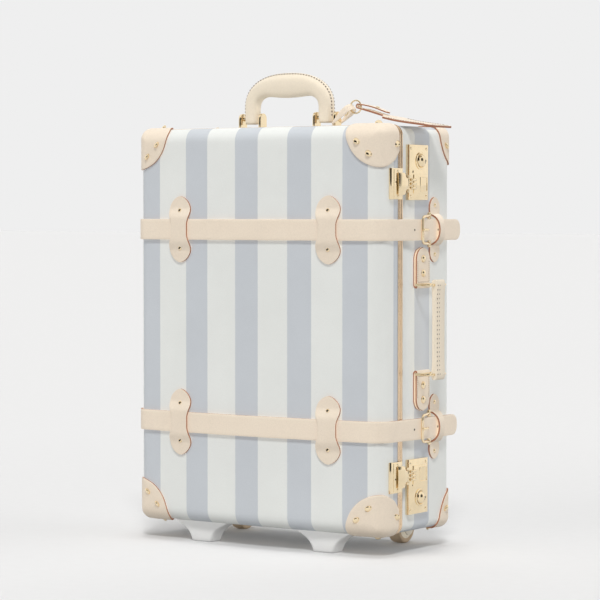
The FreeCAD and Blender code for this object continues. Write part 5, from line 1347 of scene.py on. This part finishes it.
def build_world(scene):
    """A pale backdrop for the camera, soft even light, and a studio with two dark flags for reflections."""
    scene.world = bpy.data.worlds.new("studio")
    scene.world.use_nodes = True
    tree = scene.world.node_tree
    tree.nodes.clear()
    add = node_adder(tree)
    where = add("TexCoord", "Generated")
    dimming = []
    for flag, start, end, left in FLAGS:
        near = add("VectorMath", "Value", {"operation": "DOT_PRODUCT"}, i0=where, i1=flag)
        dimming.append(add("MapRange", "Result", {"interpolation_type": "SMOOTHSTEP"},
                           i0=near, i1=start, i2=end, i3=1.0, i4=left))
    strength = add("Math", "Value", {"operation": "MULTIPLY"}, i0=dimming[0], i1=dimming[1])
    room = add("Background", Color=(1.0, 0.99, 0.975, 1), Strength=strength)
    even = add("Background", Color=(1.0, 1.0, 1.0, 1), Strength=0.15)
    seen = add("Background", Color=(0.863, 0.863, 0.863, 1), Strength=1.0)
    rays = add("LightPath").node.outputs
    shine = add("MixShader", i0=rays["Is Glossy Ray"], i1=even, i2=room)
    final = add("MixShader", i0=rays["Is Camera Ray"], i1=shine, i2=seen)
    tree.links.new(final, tree.nodes.new("ShaderNodeOutputWorld").inputs["Surface"])


# Operators, one for each group of pieces

class SUITCASE_OT_finishes(bpy.types.Operator):
    """Make the materials"""
    bl_idname = "suitcase.finishes"
    bl_label = "Finishes"

    def execute(self, context):
        make_finishes(context.scene.suitcase_sizes, context.scene.suitcase_colours)
        return {"FINISHED"}


class SUITCASE_OT_shells(bpy.types.Operator):
    """Make the striped lid and base coverings"""
    bl_idname = "suitcase.shells"
    bl_label = "Shells"

    def execute(self, context):
        build_shells(context.scene.suitcase_sizes)
        return {"FINISHED"}


class SUITCASE_OT_corners(bpy.types.Operator):
    """Make the eight leather corners"""
    bl_idname = "suitcase.corners"
    bl_label = "Corners"

    def execute(self, context):
        build_corners(context.scene.suitcase_sizes)
        return {"FINISHED"}


class SUITCASE_OT_straps(bpy.types.Operator):
    """Make the straps, their keepers and their buckles"""
    bl_idname = "suitcase.straps"
    bl_label = "Straps and buckles"

    def execute(self, context):
        build_keepers(context.scene.suitcase_sizes)
        build_straps()
        build_buckles(context.scene.suitcase_sizes)
        return {"FINISHED"}


class SUITCASE_OT_locks(bpy.types.Operator):
    """Make the locks, hasps and catches"""
    bl_idname = "suitcase.locks"
    bl_label = "Locks"

    def execute(self, context):
        build_locks()
        return {"FINISHED"}


class SUITCASE_OT_handles(bpy.types.Operator):
    """Make the carry handle and the side handle"""
    bl_idname = "suitcase.handles"
    bl_label = "Handles"

    def execute(self, context):
        build_carry_handle(context.scene.suitcase_sizes)
        build_side_handle(context.scene.suitcase_sizes)
        return {"FINISHED"}


class SUITCASE_OT_running_gear(bpy.types.Operator):
    """Make the rim trims, hinges, trolley, linings, wheels and feet"""
    bl_idname = "suitcase.running_gear"
    bl_label = "Trims, trolley and wheels"

    def execute(self, context):
        build_trims()
        build_running_gear()
        return {"FINISHED"}


class SUITCASE_OT_tag(bpy.types.Operator):
    """Make the luggage tag"""
    bl_idname = "suitcase.tag"
    bl_label = "Luggage tag"

    def execute(self, context):
        build_tag()
        return {"FINISHED"}


class SUITCASE_OT_fasteners(bpy.types.Operator):
    """Set a head on every rivet, pin and screw noted by the other pieces"""
    bl_idname = "suitcase.fasteners"
    bl_label = "Rivets and screws"

    def execute(self, context):
        sizes = context.scene.suitcase_sizes
        kinds = {"rivets": (sizes.rivet / MM, sizes.rivet_rise / MM, 20), "pins": (2.7, 1.5, 18),
                 "screws": (2.0, 0.75, 16)}
        for body in ("lid", "base"):
            for kind, (radius, rise, sides) in kinds.items():
                spots, facing = zip(*HEADS[kind, body])
                nodes = [f"{body}_fasteners"] if kind == "rivets" else []
                scatter(f"{body}_{kind}", spots, facing, radius, rise, "polished_brass", body,
                        "polished_brass", *nodes, sides=sides)
                # Each keeper pin gets a dark dot on its top: painted shade of its hollow centre.
                if (kind, body) == ("pins", "lid"):
                    tops = [np.array(spot) + 1.42 * np.array(out) for spot, out in zip(spots, facing)]
                    painted_shade_dots("lid_pin_hole_shade", tops, facing, 1.3, 0.15, body, "polished_brass")
        return {"FINISHED"}


class SUITCASE_OT_stage(bpy.types.Operator):
    """Set the camera, lights, floor and backdrop"""
    bl_idname = "suitcase.stage"
    bl_label = "Stage"

    def execute(self, context):
        build_stage()
        return {"FINISHED"}


STEPS = [SUITCASE_OT_finishes, SUITCASE_OT_shells, SUITCASE_OT_corners, SUITCASE_OT_straps,
         SUITCASE_OT_locks, SUITCASE_OT_handles, SUITCASE_OT_running_gear, SUITCASE_OT_tag,
         SUITCASE_OT_fasteners, SUITCASE_OT_stage]


class SUITCASE_PT_panel(bpy.types.Panel):
    """Lists the sizes, the colours and the steps that build the suitcase"""
    bl_idname = "SUITCASE_PT_panel"
    bl_label = "Suitcase"
    bl_space_type = "VIEW_3D"
    bl_region_type = "UI"
    bl_category = "Suitcase"

    def draw(self, context):
        for group in (context.scene.suitcase_sizes, context.scene.suitcase_colours):
            for name in group.__annotations__:
                self.layout.prop(group, name)
        for step in STEPS:
            self.layout.operator(step.bl_idname)


CLASSES = [SuitcaseSizes, SuitcaseColours] + STEPS + [SUITCASE_PT_panel]


def register():
    for kind in CLASSES:
        bpy.utils.register_class(kind)
    bpy.types.Scene.suitcase_sizes = bpy.props.PointerProperty(type=SuitcaseSizes)
    bpy.types.Scene.suitcase_colours = bpy.props.PointerProperty(type=SuitcaseColours)


def unregister():
    del bpy.types.Scene.suitcase_colours
    del bpy.types.Scene.suitcase_sizes
    for kind in reversed(CLASSES):
        bpy.utils.unregister_class(kind)


def main():
    register()
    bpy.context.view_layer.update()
    for step in STEPS:
        family, name = step.bl_idname.split(".")
        getattr(getattr(bpy.ops, family), name)()


if __name__ == "__main__":
    main()
